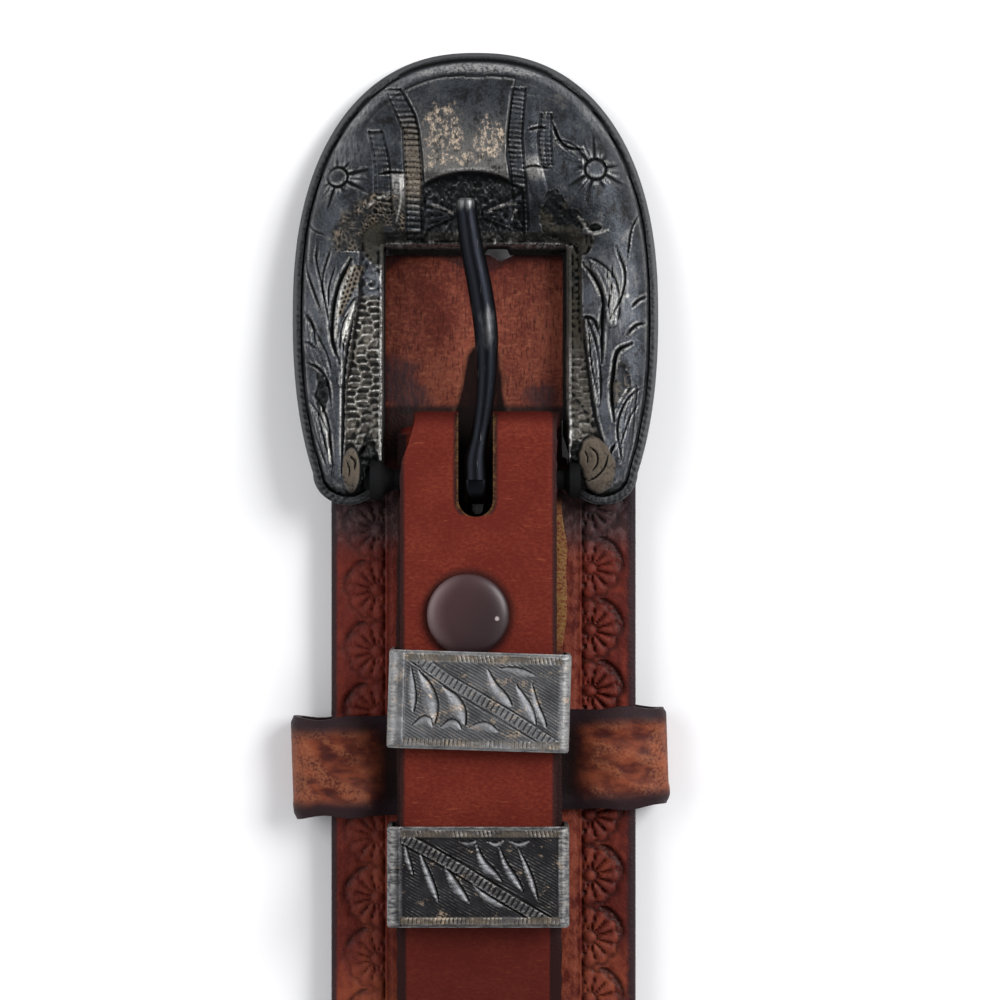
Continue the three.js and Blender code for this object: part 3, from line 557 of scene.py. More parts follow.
turn = np.linspace(pi / 2, -pi / 2, 18)
above = np.arange(UPPER_END_Y, FOLD_Y, 0.4)
below = np.concatenate([np.linspace(FOLD_Y - 0.3, -50, 50), np.arange(-50.4, LOWER_END_Y, -0.45), [LOWER_END_Y]])
outside = np.concatenate([
    np.stack([above, upper_under(above) + BILLET_THICK], axis=1),
    np.stack([FOLD_Y + FOLD_OUT * np.cos(turn), BAR_Z + FOLD_OUT * np.sin(turn)], axis=1),
    np.stack([below, billet_under(below)], axis=1)])
inside = np.concatenate([
    np.stack([above, upper_under(above)], axis=1),
    np.stack([FOLD_Y + FOLD_IN * np.cos(turn), BAR_Z + FOLD_IN * np.sin(turn)], axis=1),
    np.stack([below, billet_under(below) + BILLET_THICK], axis=1)])
step = np.arange(len(outside))
share = ease(len(above), len(above) + len(turn), step)
middle_x, half_x = mix(BILLET_MIDDLE, UNDER_MIDDLE, share), mix(BILLET_HALF, UNDER_HALF, share)
corner_cut = 1.9 * ease(0.5, FOLD_Y + 3.0, outside[:, 0]) * (share < 0.9)
round_end = np.clip((3 - (outside[:, 1] * 0 + outside[:, 0] - LOWER_END_Y)) / 3, 0, 1)
tuck_in = 3 * (1 - np.sqrt(1 - (round_end * 0.97) ** 2))
left_x = middle_x - half_x + corner_cut + tuck_in
raw_strip = ease(-3.0, -8.0, outside[:, 0]) * ease(-23.0, -17.0, outside[:, 0]) * (share > 0.9)
right_x = middle_x + half_x - tuck_in + 0.6 * raw_strip
ragged = (0.07 + 0.12 * raw_strip) * lattice(step * 0.45, 0 * step, 1.1, 8)
across = np.linspace(0, 1, 46)


def layer_rings():
    """Rings of the folded strap, outer side first, with its four edges a little rounded."""
    rings = []
    for i, (out, into) in enumerate(zip(outside, inside)):
        x = mix(left_x[i] + ragged[i], right_x[i] + ragged[i - 1], across)
        side = np.minimum(x - x[0], x[-1] - x)
        drop = 0.16 * ease(0.75, 0.0, side)
        bow = 0.03 * lattice(x, i * 0.45, 4.0, 9) + 0.015 * lattice(x * 1.5, i * 0.4, 1.1, 10)
        deep = ease(0.0, 1.0, side)
        outer = out + ((into - out) / BILLET_THICK) * (drop - bow * deep)[:, None]
        inner = into + ((out - into) / BILLET_THICK) * (drop - bow * deep * (out[0] < UPPER_END_Y))[:, None]
        rings.append(np.concatenate([np.column_stack([x, outer]), np.column_stack([x, inner])[::-1]]))
    return np.array(rings)


rings = layer_rings()
ring_side = np.minimum(across, 1 - across) * 2 * BILLET_HALF
side_mark = np.tile(np.concatenate([ring_side, ring_side[::-1]]), (len(rings), 1))
billet = sleeve("billet", rings, side=side_mark)
carve(billet, prism(stadium(TONGUE_X, 2.15, SLOT_END_Y, 14), 2, 20))
x, y, z = vertices_of(billet)
from_slot = np.hypot(x - TONGUE_X, np.minimum(0, y - SLOT_END_Y - 2.15)) - 2.15
inward = np.where(y > SLOT_END_Y, np.abs(from_slot), 9)
middle_here = BILLET_THICK / 2
upper_mid = upper_under(y) + middle_here
lower_mid = billet_under(y) + middle_here
wall = np.minimum(np.abs(z - upper_mid), np.abs(z - lower_mid))
limit = np.minimum(np.abs(x - (BILLET_MIDDLE - BILLET_HALF)), np.abs(x - (BILLET_MIDDLE + BILLET_HALF)))
limit = np.minimum(limit, np.minimum(UNDER_HALF - np.abs(x - UNDER_MIDDLE), inward))
low_layer = z < upper_under(y) - 0.1
raw_edge = low_layer * (x > 8.8) * ease(-2.0, -5.0, y) * ease(-23.0, -18.0, y)
frayed = ease(0.26, 0.02, inward) * ~low_layer * 0.5
# edge darkens the upper layer's edges, which are burnished, and the lower layer's sides where they show beside it,
# which is painted shade.
marked(billet, edge=ease(1.3, 0.1, limit) * ~low_layer + low_layer * (1 - raw_edge) * ease(8.6, 9.0, np.abs(x + 0.6)),
       raw=np.maximum(raw_edge, frayed), fold=ease(6.3, 8.3, y), ring=ease(6.2, 5.0, np.hypot(x + 1.87, y + 16.6)))
smooth_by_angle(billet, 50)


def plain_leather(name, base, light, dark, edge_tone, raw_tone=(0.20, 0.110, 0.035)):
    """Finish for the plain straps: fine grain, fine scratches, soft stains, dark and raw edges, with painted shade over
    the billet's fold and a painted shadow ring round the snap.
    """
    finish = Finish(name, specular_ior_level=0.10)
    grain = finish.cloud(0.4, 6, (1.4, 0.9, 1))
    patch = finish.cloud(6, 3, (1.3, 1, 1))
    speck = finish.cloud(0.25, 4)
    scratch = finish.cloud(0.9, 3, (2.6, 0.35, 1), 3.0)
    pores = finish.cells(0.3)
    edge, fold = finish.mark("edge"), finish.mark("fold")
    colour = finish.tone(base, light, (patch * 0.55 + grain * 0.6).between(0.48, 0.80))
    colour = finish.tone(colour, (light[0] * 1.5, light[1] * 2.2, light[2] * 1.9), scratch.between(0.64, 0.73) * 0.55)
    low_down = finish.axis("Y").between((BAR_Y - 34) * MM, (BAR_Y - 60) * MM)
    colour = finish.tone(colour, dark, low_down * 0.55)
    colour = finish.tone(colour, dark, (speck * 0.7 + patch * 0.35).between(0.56, 0.75) * 0.55)
    # Painted shade over the top of the fold, where the leather rounds down.
    colour = finish.tone(colour, dark, fold * 0.8)
    colour = finish.tone(colour, edge_tone, (edge + patch * 0.4 - 0.2).between(0.4, 0.95) * 0.9)
    # Painted shadow ring round the snap cap.
    colour = finish.tone(colour, (0.012, 0.004, 0.004), finish.mark("ring") * 0.8)
    colour = finish.tone(colour, raw_tone, finish.mark("raw") * (grain * 0.8 + speck * 0.6).between(0.52, 0.82))
    height = grain * 0.9 + speck * 0.6 - pores * 0.3 + scratch * 0.3
    return finish, colour, 0.40 + grain * 0.25, height


finish, colour, gloss, height = plain_leather(
    "billet leather", (0.105, 0.012, 0.007), (0.165, 0.026, 0.013), (0.050, 0.006, 0.005), (0.012, 0.005, 0.005))
finish.dress(billet, colour, gloss, height, 0.07)
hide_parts("buckle_billet")
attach(billet, "strap")

# The loop
# A wavy band of veg-tanned leather 1.5 mm thick, wider than the strap, that slides on the belt. It
# dips under the billet and stands proud beside it, and its edges are burnished nearly black, deepened by
# painted shade; painted shade also darkens it under the billet and in its crimps, whose ridges carry a painted
# highlight.
LOOP_X, LOOP_Y, LOOP_TURN = -0.45, -35.2, radians(1.9)
LOOP_THICK, LOOP_LENGTH, LOOP_REACH, LOOP_SWELL = 1.5, 12.4, 23.75, 1.3
INNER_SIDE, LOOP_DIP = STRAP_HALF + LAYER_GAP, UNDER_HALF + 1.5
low, high = STRAP_LIFT - LAYER_GAP, STRAP_TOP + LAYER_GAP
reach = LOOP_REACH - LOOP_THICK


side_line = smooth_line([
    (0, low), (INNER_SIDE * 0.6, low), (INNER_SIDE, low), (mix(INNER_SIDE, reach, 0.75), mix(low, high, 0.12)),
    (reach, mix(low, high, 0.5)), (mix(INNER_SIDE, reach, 0.75), high + LOOP_SWELL * 0.3),
    (INNER_SIDE * 0.95, high + LOOP_SWELL), (INNER_SIDE * 0.8, high + LOOP_SWELL),
    (LOOP_DIP, high), (LOOP_DIP * 0.6, high), (0, high)], 0.45)
band = np.concatenate([side_line, (side_line * (-1, 1))[::-1][1:-1]])
along = np.roll(band, -1, axis=0) - np.roll(band, 1, axis=0)
along /= np.linalg.norm(along, axis=1)[:, None]
outward = np.stack([along[:, 1], -along[:, 0]], axis=1)
lengths = np.linspace(-LOOP_LENGTH / 2, LOOP_LENGTH / 2, 40)


def loop_row(y, thick):
    """One ring of the band at this distance along the belt, thick away from its inner face."""
    points = band + outward * np.reshape(thick, (-1, 1))
    points[:, 1] = np.maximum(points[:, 1], 0.02)
    sideways = ease(LOOP_DIP, INNER_SIDE, np.abs(points[:, 0]))
    wavy = 0.28 * np.sin(points[:, 0] * 0.75 + 0.6) * sideways * np.sign(y)
    ys = y + wavy * (abs(y) / LOOP_LENGTH * 2) ** 3
    turned_x = points[:, 0] * np.cos(LOOP_TURN) - ys * np.sin(LOOP_TURN) + LOOP_X
    turned_y = points[:, 0] * np.sin(LOOP_TURN) + ys * np.cos(LOOP_TURN) + LOOP_Y
    return np.column_stack([turned_x, turned_y, points[:, 1]])


def loop_swell(y):
    """Thickness of the band at y: crimped across, with soft edges."""
    side = LOOP_LENGTH / 2 - abs(y)
    free = ease(LOOP_DIP + 1, LOOP_DIP + 4, np.abs(band[:, 0])) * (outward[:, 1] > 0.2)
    there = y + 0.35 * band[:, 0]
    crimp = 0.26 * lattice(band[:, 0] * 0.6 + 0.3 * y, there, 1.7, 11) + 0.06 * lattice(band[:, 0] - y, there * 1.3, 1.1, 12)
    lip = 0.18 * ease(0.4, 1.6, side) * ease(3.4, 2.0, side)
    return LOOP_THICK - 0.2 - 0.35 * ease(0.8, 0, side) + free * (crimp + lip) * ease(0, 1.2, side)


outer_rows = [loop_row(y, loop_swell(y)) for y in lengths]
inner_rows = [loop_row(y, 0.0) for y in (lengths[-1], lengths[0])]
at_end = 0.8 * ease(LOOP_REACH - 2.2, LOOP_REACH - 0.6, np.abs(band[:, 0]))
edge_rows = [np.maximum(at_end, ease(3.6, 0.3, LOOP_LENGTH / 2 - abs(y))) for y in lengths]
loop = sleeve("strap_loop_band", np.array(outer_rows + inner_rows), closed=True,
              edge=np.array(edge_rows + [edge_rows[0]] * 2))
relief_marks(loop, 8)
smooth_by_angle(loop, 55)

loop_finish = Finish("loop leather", specular_ior_level=0.12)
crimped = loop_finish.cloud(1.5, 5, (1.8, 0.8, 1))
patch = loop_finish.cloud(3.5, 4, (1.4, 0.8, 1), 0.8)
speck = loop_finish.cloud(0.35, 4)
edge, ridge = loop_finish.mark("edge"), loop_finish.mark("ridge")
colour = loop_finish.tone((0.060, 0.011, 0.008), (0.205, 0.048, 0.021), (patch * 0.55 + crimped * 0.6).between(0.45, 0.75))
# Painted light: the crimps' ridges get a painted highlight and their hollows painted shade.
colour = loop_finish.tone(colour, (0.300, 0.105, 0.050), ridge.between(0.01, 0.10) * speck.between(0.35, 0.6) * 0.55)
colour = loop_finish.tone(colour, (0.040, 0.010, 0.009), ridge.between(0.0, -0.09) * 0.85)
# Painted shade: the middle of the band, where it passes under the billet, is painted nearly black.
away_from_middle = loop_finish.axis("X")
away_from_middle = away_from_middle.maths("ABSOLUTE", away_from_middle + 0.0005)
colour = loop_finish.tone(colour, (0.006, 0.003, 0.003), away_from_middle.between(0.0142, 0.0112) * 0.97)
# Dark edges: partly burnished, partly painted shade where the band rounds away at its edges and ends.
edge_burnish_and_shade = (edge + speck * 0.25 + patch * 0.45 - 0.36).between(0.1, 0.95)
colour = loop_finish.tone(colour, (0.016, 0.009, 0.012), edge_burnish_and_shade * 0.97)
loop_finish.dress(loop, colour, 0.42 + speck * 0.25, crimped * 0.8 + speck * 0.5, 0.12)
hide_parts("strap_loop")
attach(loop, "strap")

# The snap
# A low domed cap of dark brown lacquered metal on a post, closed over a flange under the billet.
SNAP_X, SNAP_Y = -1.87, -16.6
CAP_RADIUS, CAP_HEIGHT, POST_RADIUS, FLANGE_RADIUS = 5.05, 1.25, 1.75, 4.0
flange_top = float(billet_under(SNAP_Y)) - LAYER_GAP
cap_low = float(upper_under(SNAP_Y)) + BILLET_THICK + LAYER_GAP


def pull_up(steps, sides, spot, tilt=(0, 0, 0)):
    """A disc drawn up into a closed piece: each step is (radius, dx, dy, dz) from the one before."""
    bpy.ops.object.select_all(action="DESELECT")
    radius = steps[0][0]
    bpy.ops.mesh.primitive_circle_add(
        vertices=sides, radius=radius * MM, fill_type="NGON", location=place(spot), rotation=tilt)
    piece = bpy.context.object
    bpy.ops.object.transform_apply(location=True, rotation=True)
    bpy.ops.object.mode_set(mode="EDIT")
    bpy.ops.mesh.select_all(action="SELECT")
    centre = Vector(place(spot))
    for wide, *move in steps[1:]:
        centre += Vector(move) * MM
        bpy.ops.mesh.extrude_region_move(TRANSFORM_OT_translate={"value": Vector(move) * MM})
        bpy.ops.transform.resize(value=(wide / radius,) * 3, center_override=centre)
        radius = wide
    bpy.ops.mesh.select_all(action="SELECT")
    bpy.ops.mesh.normals_make_consistent(inside=False)
    bpy.ops.object.mode_set(mode="OBJECT")
    bpy.ops.object.shade_smooth()
    return piece


profile = [(FLANGE_RADIUS - 0.15, flange_top - 0.8), (FLANGE_RADIUS, flange_top - 0.65),
           (FLANGE_RADIUS, flange_top), (POST_RADIUS, flange_top), (POST_RADIUS, cap_low),
           (CAP_RADIUS - 0.35, cap_low), (CAP_RADIUS - 0.08, cap_low + 0.1), (CAP_RADIUS, cap_low + 0.32)]
profile += [(CAP_RADIUS * np.cos(a) ** 0.42, cap_low + 0.4 + (CAP_HEIGHT - 0.42) * np.sin(a))
            for a in np.linspace(0.1, pi / 2 - 0.03, 14)]
steps = [(profile[0][0], 0, 0, 0)]
steps += [(r, 0, 0, z - before) for (_, before), (r, z) in zip(profile, profile[1:])]
snap = pull_up(steps, 96, (SNAP_X, SNAP_Y, profile[0][1]))
snap.name = "snap_cap"
x, y, z = vertices_of(snap)
from_middle = np.hypot(x - SNAP_X, y - SNAP_Y) / CAP_RADIUS
# from_middle lightens the cap's left rim as a painted highlight; shade darkens its lower right as painted shade.
marked(snap, from_middle=np.clip(from_middle, 0, 1) * ease(4, -4, x - SNAP_X),
       shade=ease(-4.5, 4.5, x - SNAP_X - 0.7 * (y - SNAP_Y)))
smooth_by_angle(snap, 35)
cap_finish = Finish("brown lacquer", metallic=0.2, coat_weight=0.2, coat_roughness=0.25)
dust = cap_finish.cloud(0.16, 5)
nick_at = place((SNAP_X + 3.56, SNAP_Y - 0.45, cap_low + 1.14))
nick = cap_finish.node("ShaderNodeVectorMath", {"operation": "DISTANCE"}, {0: cap_finish.spot, 1: nick_at}, out="Value")
nick = (nick + dust * 0.0002).between(0.00045, 0.00025)
from_middle = cap_finish.mark("from_middle")
# Painted highlight on the left rim, then painted shade to the lower right.
colour = cap_finish.tone((0.044, 0.015, 0.017), (0.100, 0.056, 0.058), (from_middle + dust * 0.3 - 0.15).between(0.45, 1.0) * 0.9)
colour = cap_finish.tone(colour, (0.016, 0.007, 0.009), cap_finish.mark("shade") * 0.75)
colour = cap_finish.tone(colour, (0.50, 0.42, 0.41), nick * 0.8)
cap_finish.dress(snap, colour, 0.36 + dust * 0.15, dust, 0.010)
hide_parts("snap_fastener")
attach(snap, "strap")

# The tongue
# Dark steel wire, bent a little, with an eye round the bar. Its tip is worn bright.
EYE_IN, EYE_OUT, TONGUE_WIDE, TONGUE_LONG = 1.5, 3.0, 3.2, 34.7
tongue_low, tongue_high = (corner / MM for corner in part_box("buckle_tongue"))
START_Z, TIP_Z = BAR_Z + (EYE_IN + EYE_OUT) / 2, tongue_high.z - TONGUE_WIDE * 0.45 * 0.96
# share of the way to the tip, sideways bend and half width, both in parts of the tongue's width
BENDS = [(0.0, 0.0, 0.47), (0.08, 0.0, 0.44), (0.17, 0.18, 0.36), (0.28, 0.35, 0.38), (0.4, 0.43, 0.43),
         (0.54, 0.39, 0.485), (0.68, 0.17, 0.50), (0.83, -0.15, 0.47), (0.95, -0.34, 0.42),
         (0.988, -0.36, 0.40), (1.0, -0.36, 0.32)]
stations = smooth_line(BENDS, 0.02)
shaft_at = np.column_stack([TONGUE_X + stations[:, 1] * TONGUE_WIDE, stations[:, 0] * TONGUE_LONG,
                            mix(START_Z, TIP_Z, np.clip(stations[:, 0], 0, 1) ** 1.6)])
steps = [(stations[0, 2] * TONGUE_WIDE * 0.96, 0, 0, 0)]
steps += [(s[2] * TONGUE_WIDE * 0.96, *move) for s, move in zip(stations[1:], np.diff(shaft_at, axis=0))]
tongue = pull_up(steps, 32, shaft_at[0], (radians(90), 0, 0))
tongue.name = "tongue_bar"
bpy.ops.object.select_all(action="DESELECT")
bpy.ops.mesh.primitive_cylinder_add(
    vertices=64, radius=EYE_OUT * MM, depth=TONGUE_WIDE * 0.88 * MM, end_fill_type="NGON",
    location=place((TONGUE_X, 0, BAR_Z)), rotation=(0, radians(90), 0))
eye = bpy.context.object
bpy.ops.object.transform_apply(location=True, rotation=True)
bpy.ops.object.mode_set(mode="EDIT")
bpy.ops.mesh.select_all(action="DESELECT")
work = bmesh.from_edit_mesh(eye.data)
for face in work.faces:
    face.select_set(abs(face.normal.x) > 0.9)
bmesh.update_edit_mesh(eye.data)
bpy.ops.mesh.inset(thickness=(EYE_OUT - EYE_IN) * MM, use_individual=True)
bpy.ops.mesh.bridge_edge_loops()
bpy.ops.mesh.select_all(action="SELECT")
bpy.ops.mesh.normals_make_consistent(inside=False)
bpy.ops.object.mode_set(mode="OBJECT")
finish_modifier(eye, "BEVEL", width=0.62 * MM, segments=5, limit_method="ANGLE", angle_limit=radians(50))
bore = pull_up([(EYE_IN, 0, 0, 0), (EYE_IN, 6, 0, 0)], 64, (TONGUE_X - 3, 0, BAR_Z), (0, radians(90), 0))
carve(tongue, bore)
carve(tongue, eye, "UNION")
smooth_by_angle(tongue, 40)
steel = Finish("dark steel", metallic=1.0)
cloudy = steel.cloud(2.4, 4, (0.6, 2.2, 1))
pit = steel.cloud(0.22, 4)
line = steel.cloud(0.5, 3, (0.4, 6, 1), 2.0)
distance = steel.node("ShaderNodeSeparateXYZ", None, {"Vector": steel.spot}, out="Y")
tip_wear = distance.between((BAR_Y + 31.2) * MM, (BAR_Y + 34.6) * MM)
# The middle of the shaft is lightened partly as wear and partly as a painted highlight; the tip is worn bright.
mid_wear_and_highlight = distance.between((BAR_Y + 9) * MM, (BAR_Y + 17) * MM) * distance.between((BAR_Y + 27) * MM, (BAR_Y + 20) * MM)
wear = (tip_wear * 0.7 + mid_wear_and_highlight * 0.5 + cloudy - 0.6).between(0.35, 0.85)
colour = steel.tone((0.012, 0.013, 0.017), (0.30, 0.30, 0.30), wear * (0.3 + line * 0.9))
colour = steel.tone(colour, (0.30, 0.29, 0.27), line.between(0.66, 0.74) * 0.35)
colour = steel.tone(colour, (0.012, 0.011, 0.012), pit.between(0.62, 0.72) * 0.7)
steel.dress(tongue, colour, 0.30 + cloudy * 0.22 - wear * 0.06, pit * -0.7 + line * 0.5, 0.035)
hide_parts("buckle_tongue")
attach(tongue, "tongue")

# The buckle frame
# A cast and hand-engraved silver horseshoe, oxidised nearly black, with a rope edge, a plain panel
# between ridged bands, a daisy at each shoulder and leaves down the arms. Its bar is soldered in.
FRAME_X, FRAME_HALF, FRAME_TOP_Y, WIDEST_Y, LOWER_REACH, ROUNDNESS = -1.0, 22.8, 53.8, 21.25, 37.5, 2.3
ARM_Y, WINDOW_HALF, WINDOW_TOP_Y, WINDOW_ROUND = 0.8, 11.6, 29.4, 0.7
RIM, RIM_TOP, RIM_ARM, CREST_TOP, CREST_ARM, EDGE_TOP, EDGE_ARM = 1.15, 2.0, 3.3, 7.7, 5.6, 4.6, 3.0
WALL, RECESS, BAR_RADIUS = 2.2, 0.8, 1.2
KNUCKLE = BAR_Z - AT_BAR
TOE = KNUCKLE * 0.9 + ARM_Y


def outer_edge(angle):
    """The outline by an angle that is 0 on the widest line and a quarter turn at the top."""
    power = 2 / ROUNDNESS
    reach = np.where(angle < 0, -LOWER_REACH, FRAME_TOP_Y - WIDEST_Y)
    return np.stack([-FRAME_HALF * np.cos(angle) ** power,
                     WIDEST_Y + reach * np.sin(np.abs(angle)) ** power], axis=1)


def half_stations():
    """Outer and inner points from the left toe up the arm, round the corner and to the middle."""
    arm_angle = -np.arcsin(((WIDEST_Y - ARM_Y) / LOWER_REACH) ** (ROUNDNESS / 2))
    corner_y = WINDOW_TOP_Y - WINDOW_ROUND
    t = np.linspace(0, 1, 176)
    arm = outer_edge(mix(arm_angle, 0.3, t)), np.stack([0 * t - WINDOW_HALF, mix(ARM_Y, corner_y, t)], axis=1)
    t = np.linspace(0, 1, 66)[1:]
    a = pi - t * pi / 2
    centre_x = WINDOW_ROUND - WINDOW_HALF
    bend = outer_edge(mix(0.3, 0.8, t)), np.stack(
        [centre_x + WINDOW_ROUND * np.cos(a), corner_y + WINDOW_ROUND * np.sin(a)], axis=1)
    t = np.linspace(0, 1, 96)[1:]
    bow = outer_edge(np.minimum(mix(0.8, pi / 2, t), pi / 2 - 1e-6)), np.stack(
        [mix(centre_x, 0, t), 0 * t + WINDOW_TOP_Y], axis=1)
    first_out, first_in = arm[0][0], arm[1][0]
    phi = np.linspace(radians(85), 0, 26)[:-1]
    mid, half = (first_out + first_in) / 2, (first_in - first_out)[0] / 2
    down = mid[1] - TOE * np.sin(phi)
    toe = (np.stack([mid[0] - half * np.cos(phi), down], axis=1),
           np.stack([mid[0] + half * np.cos(phi), down], axis=1))
    return [np.concatenate(side) for side in zip(toe, arm, bend, bow)]


outer_line, inner_line = half_stations()
outer_line = np.concatenate([outer_line, outer_line[-2::-1] * (-1, 1)])
inner_line = np.concatenate([inner_line, inner_line[-2::-1] * (-1, 1)])


def near_line(x, y, points):
    """Distance to a line of points, how far along it in mm, and +1 or -1 for the side."""
    best = np.full(x.shape, 1e9)
    along, side, run = np.zeros(x.shape), np.ones(x.shape), 0.0
    for (ax, ay), (bx, by) in zip(points, points[1:]):
        ex, ey = bx - ax, by - ay
        size = np.hypot(ex, ey)
        if size < 1e-9:
            continue
        t = np.clip(((x - ax) * ex + (y - ay) * ey) / size ** 2, 0, 1)
        away = np.hypot(x - ax - t * ex, y - ay - t * ey)
        closer = away < best
        best = np.where(closer, away, best)
        along = np.where(closer, run + t * size, along)
        side = np.where(closer, np.sign(ex * (y - ay) - ey * (x - ax)), side)
        run += size
    return best, along, side


def frame_base(y):
    """Height of the frame's back over the floor: level beside the bar, then down to the floor."""
    level = SHOULDER_Y + LAYER_GAP
    return AT_BAR * (1 - np.maximum(0, y - level) / (FRAME_TOP_Y - level))


def frame_face(x, y, d, width):
    """The smooth face over the back, d in from the outer edge."""
    top = ease(WINDOW_TOP_Y * 0.75, WINDOW_TOP_Y * 1.3, y)
    rim = mix(RIM_ARM, RIM_TOP, ease(0, FRAME_TOP_Y, y))
    crest, edge = mix(CREST_ARM, CREST_TOP, top), mix(EDGE_ARM, EDGE_TOP, top)
    share = mix(0.45, 0.6, top)
    t = np.clip((d - RIM) / np.maximum(width - RIM, 0.1), 0, 1)
    rise, fall = np.minimum(1, t / share), np.maximum(0, (t - share) / (1 - share))
    height = mix(rim - 0.3, crest, np.sqrt(1 - (1 - rise) ** 2))
    height = mix(height, edge, fall ** 1.3)
    slope_top = mix(WINDOW_TOP_Y, FRAME_TOP_Y, 0.37)
    middle = ease(WINDOW_HALF * 0.75, WINDOW_HALF * 0.45, np.abs(x))
    height = height - RECESS * middle * ease(slope_top, slope_top - 1.5, y) * ease(1, 0.6, fall)
    return np.where(d < RIM, mix(rim, height, ease(RIM * 0.85, RIM, d)), height)


rings, on_face = [], []
face_share = np.concatenate([[0, 0.012], np.linspace(0.03, 1, 70)])
back_share = np.linspace(1, 0, 10)
for out, into in zip(outer_line, inner_line):
    shares = np.concatenate([face_share, back_share])
    points = mix(out, into, shares[:, None])
    y = points[:, 1]
    width = np.hypot(*(into - out))
    base = frame_base(y)
    floor = np.where(y < 0, BAR_Z - np.sqrt(np.maximum(KNUCKLE ** 2 - y ** 2, 0.0)), base)
    top = base + frame_face(points[:, 0], y, shares * width, width)
    inside = np.clip(np.minimum(shares, 1 - shares) * 12, 0, 1)
    hollow = ease(4, 8, y) * inside * np.maximum(0, top - base - WALL)
    notch = 0.8 * ease(0.9, 1.7, into[0]) * ease(4.6, 3.9, into[0])
    draft = np.where(into[1] > WINDOW_TOP_Y - 0.1, 1.2 - notch, np.where(into[0] < 0, 0.32, 0.7)) * ease(3, 6, into[1])
    points[len(face_share)] += (into - out) / width * draft
    is_face = np.arange(len(shares)) < len(face_share)
    rings.append(np.column_stack([points, np.where(is_face, top, floor + hollow)]))
    on_face.append(is_face.astype(float))
horseshoe = sleeve("horseshoe", np.array(rings), face=np.array(on_face))


def split_faces(piece, wanted, cuts=1):
    """Subdivides the faces whose centre, in mm, is wanted(x, y, face) of."""
    mesh = piece.data
    centres = np.empty(len(mesh.polygons) * 3)
    mesh.polygons.foreach_get("center", centres)
    x, y, _ = (centres.reshape(-1, 3) / MM - (0, BAR_Y, 0)).T
    face = np.array([value.value for value in mesh.attributes["face"].data])
    least = np.array([min(face[v] for v in polygon.vertices) for polygon in mesh.polygons])
    activate(piece)
    bpy.ops.object.mode_set(mode="EDIT")
    bpy.ops.mesh.select_all(action="DESELECT")
    bpy.ops.mesh.select_mode(type="FACE")
    bpy.ops.object.mode_set(mode="OBJECT")
    mesh.polygons.foreach_set("select", (least > 0.99) & wanted(x, y))
    bpy.ops.object.mode_set(mode="EDIT")
    bpy.ops.mesh.subdivide(number_cuts=cuts, smoothness=0)
    bpy.ops.mesh.select_mode(type="VERT")
    bpy.ops.object.mode_set(mode="OBJECT")


split_faces(horseshoe, lambda x, y: (y > WINDOW_TOP_Y + 0.4) & (y < 50.5) & (np.abs(x) < 13.2))

# Height of each ridged band's two sides: distance above the bar, left and right edge
BAND_LEFT = [(29.5, -8.6, -6.6), (37.1, -8.6, -6.6), (40.2, -8.8, -6.8), (43.3, -8.9, -7.0), (45.4, -9.8, -7.5),
             (49.0, -11.4, -9.4)]
BAND_RIGHT = [(31.0, 4.9, 6.6), (37.7, 4.4, 6.2), (42.4, 3.9, 5.8), (45.4, 4.2, 6.0), (48.9, 4.6, 6.3)]
STRIPE_LEFT = [(31.6, -10.2, -8.8), (36.1, -10.3, -8.6), (40.2, -10.8, -8.9), (43.3, -11.5, -9.1), (45.4, -12.3, -9.9),
               (48.0, -13.6, -11.2)]
STRIPE_RIGHT = [(33.9, 7.4, 9.4), (36.2, 6.7, 8.9), (40.2, 6.0, 8.0), (42.4, 5.8, 7.7), (45.4, 6.0, 8.0), (48.0, 6.3, 8.3)]
KNURL_LEFT = [(33.0, -12.4, -10.3), (37.8, -12.4, -10.5), (40.2, -12.6, -10.8), (43.4, -13.3, -11.6)]
KNURL_RIGHT = [(39.0, 8.1, 9.6), (42.4, 7.8, 9.4), (45.6, 8.2, 9.5)]
PANEL = [(36.9, -6.3, 4.3), (40.2, -6.5, 3.8), (43.3, -6.9, 4.0), (45.4, -7.4, 4.2), (47.1, -8.2, 4.4), (50.3, -9.9, 5.0)]
DAISIES = [(-17.1, 37.6, 1.25), (14.9, 38.5, 1.3)]
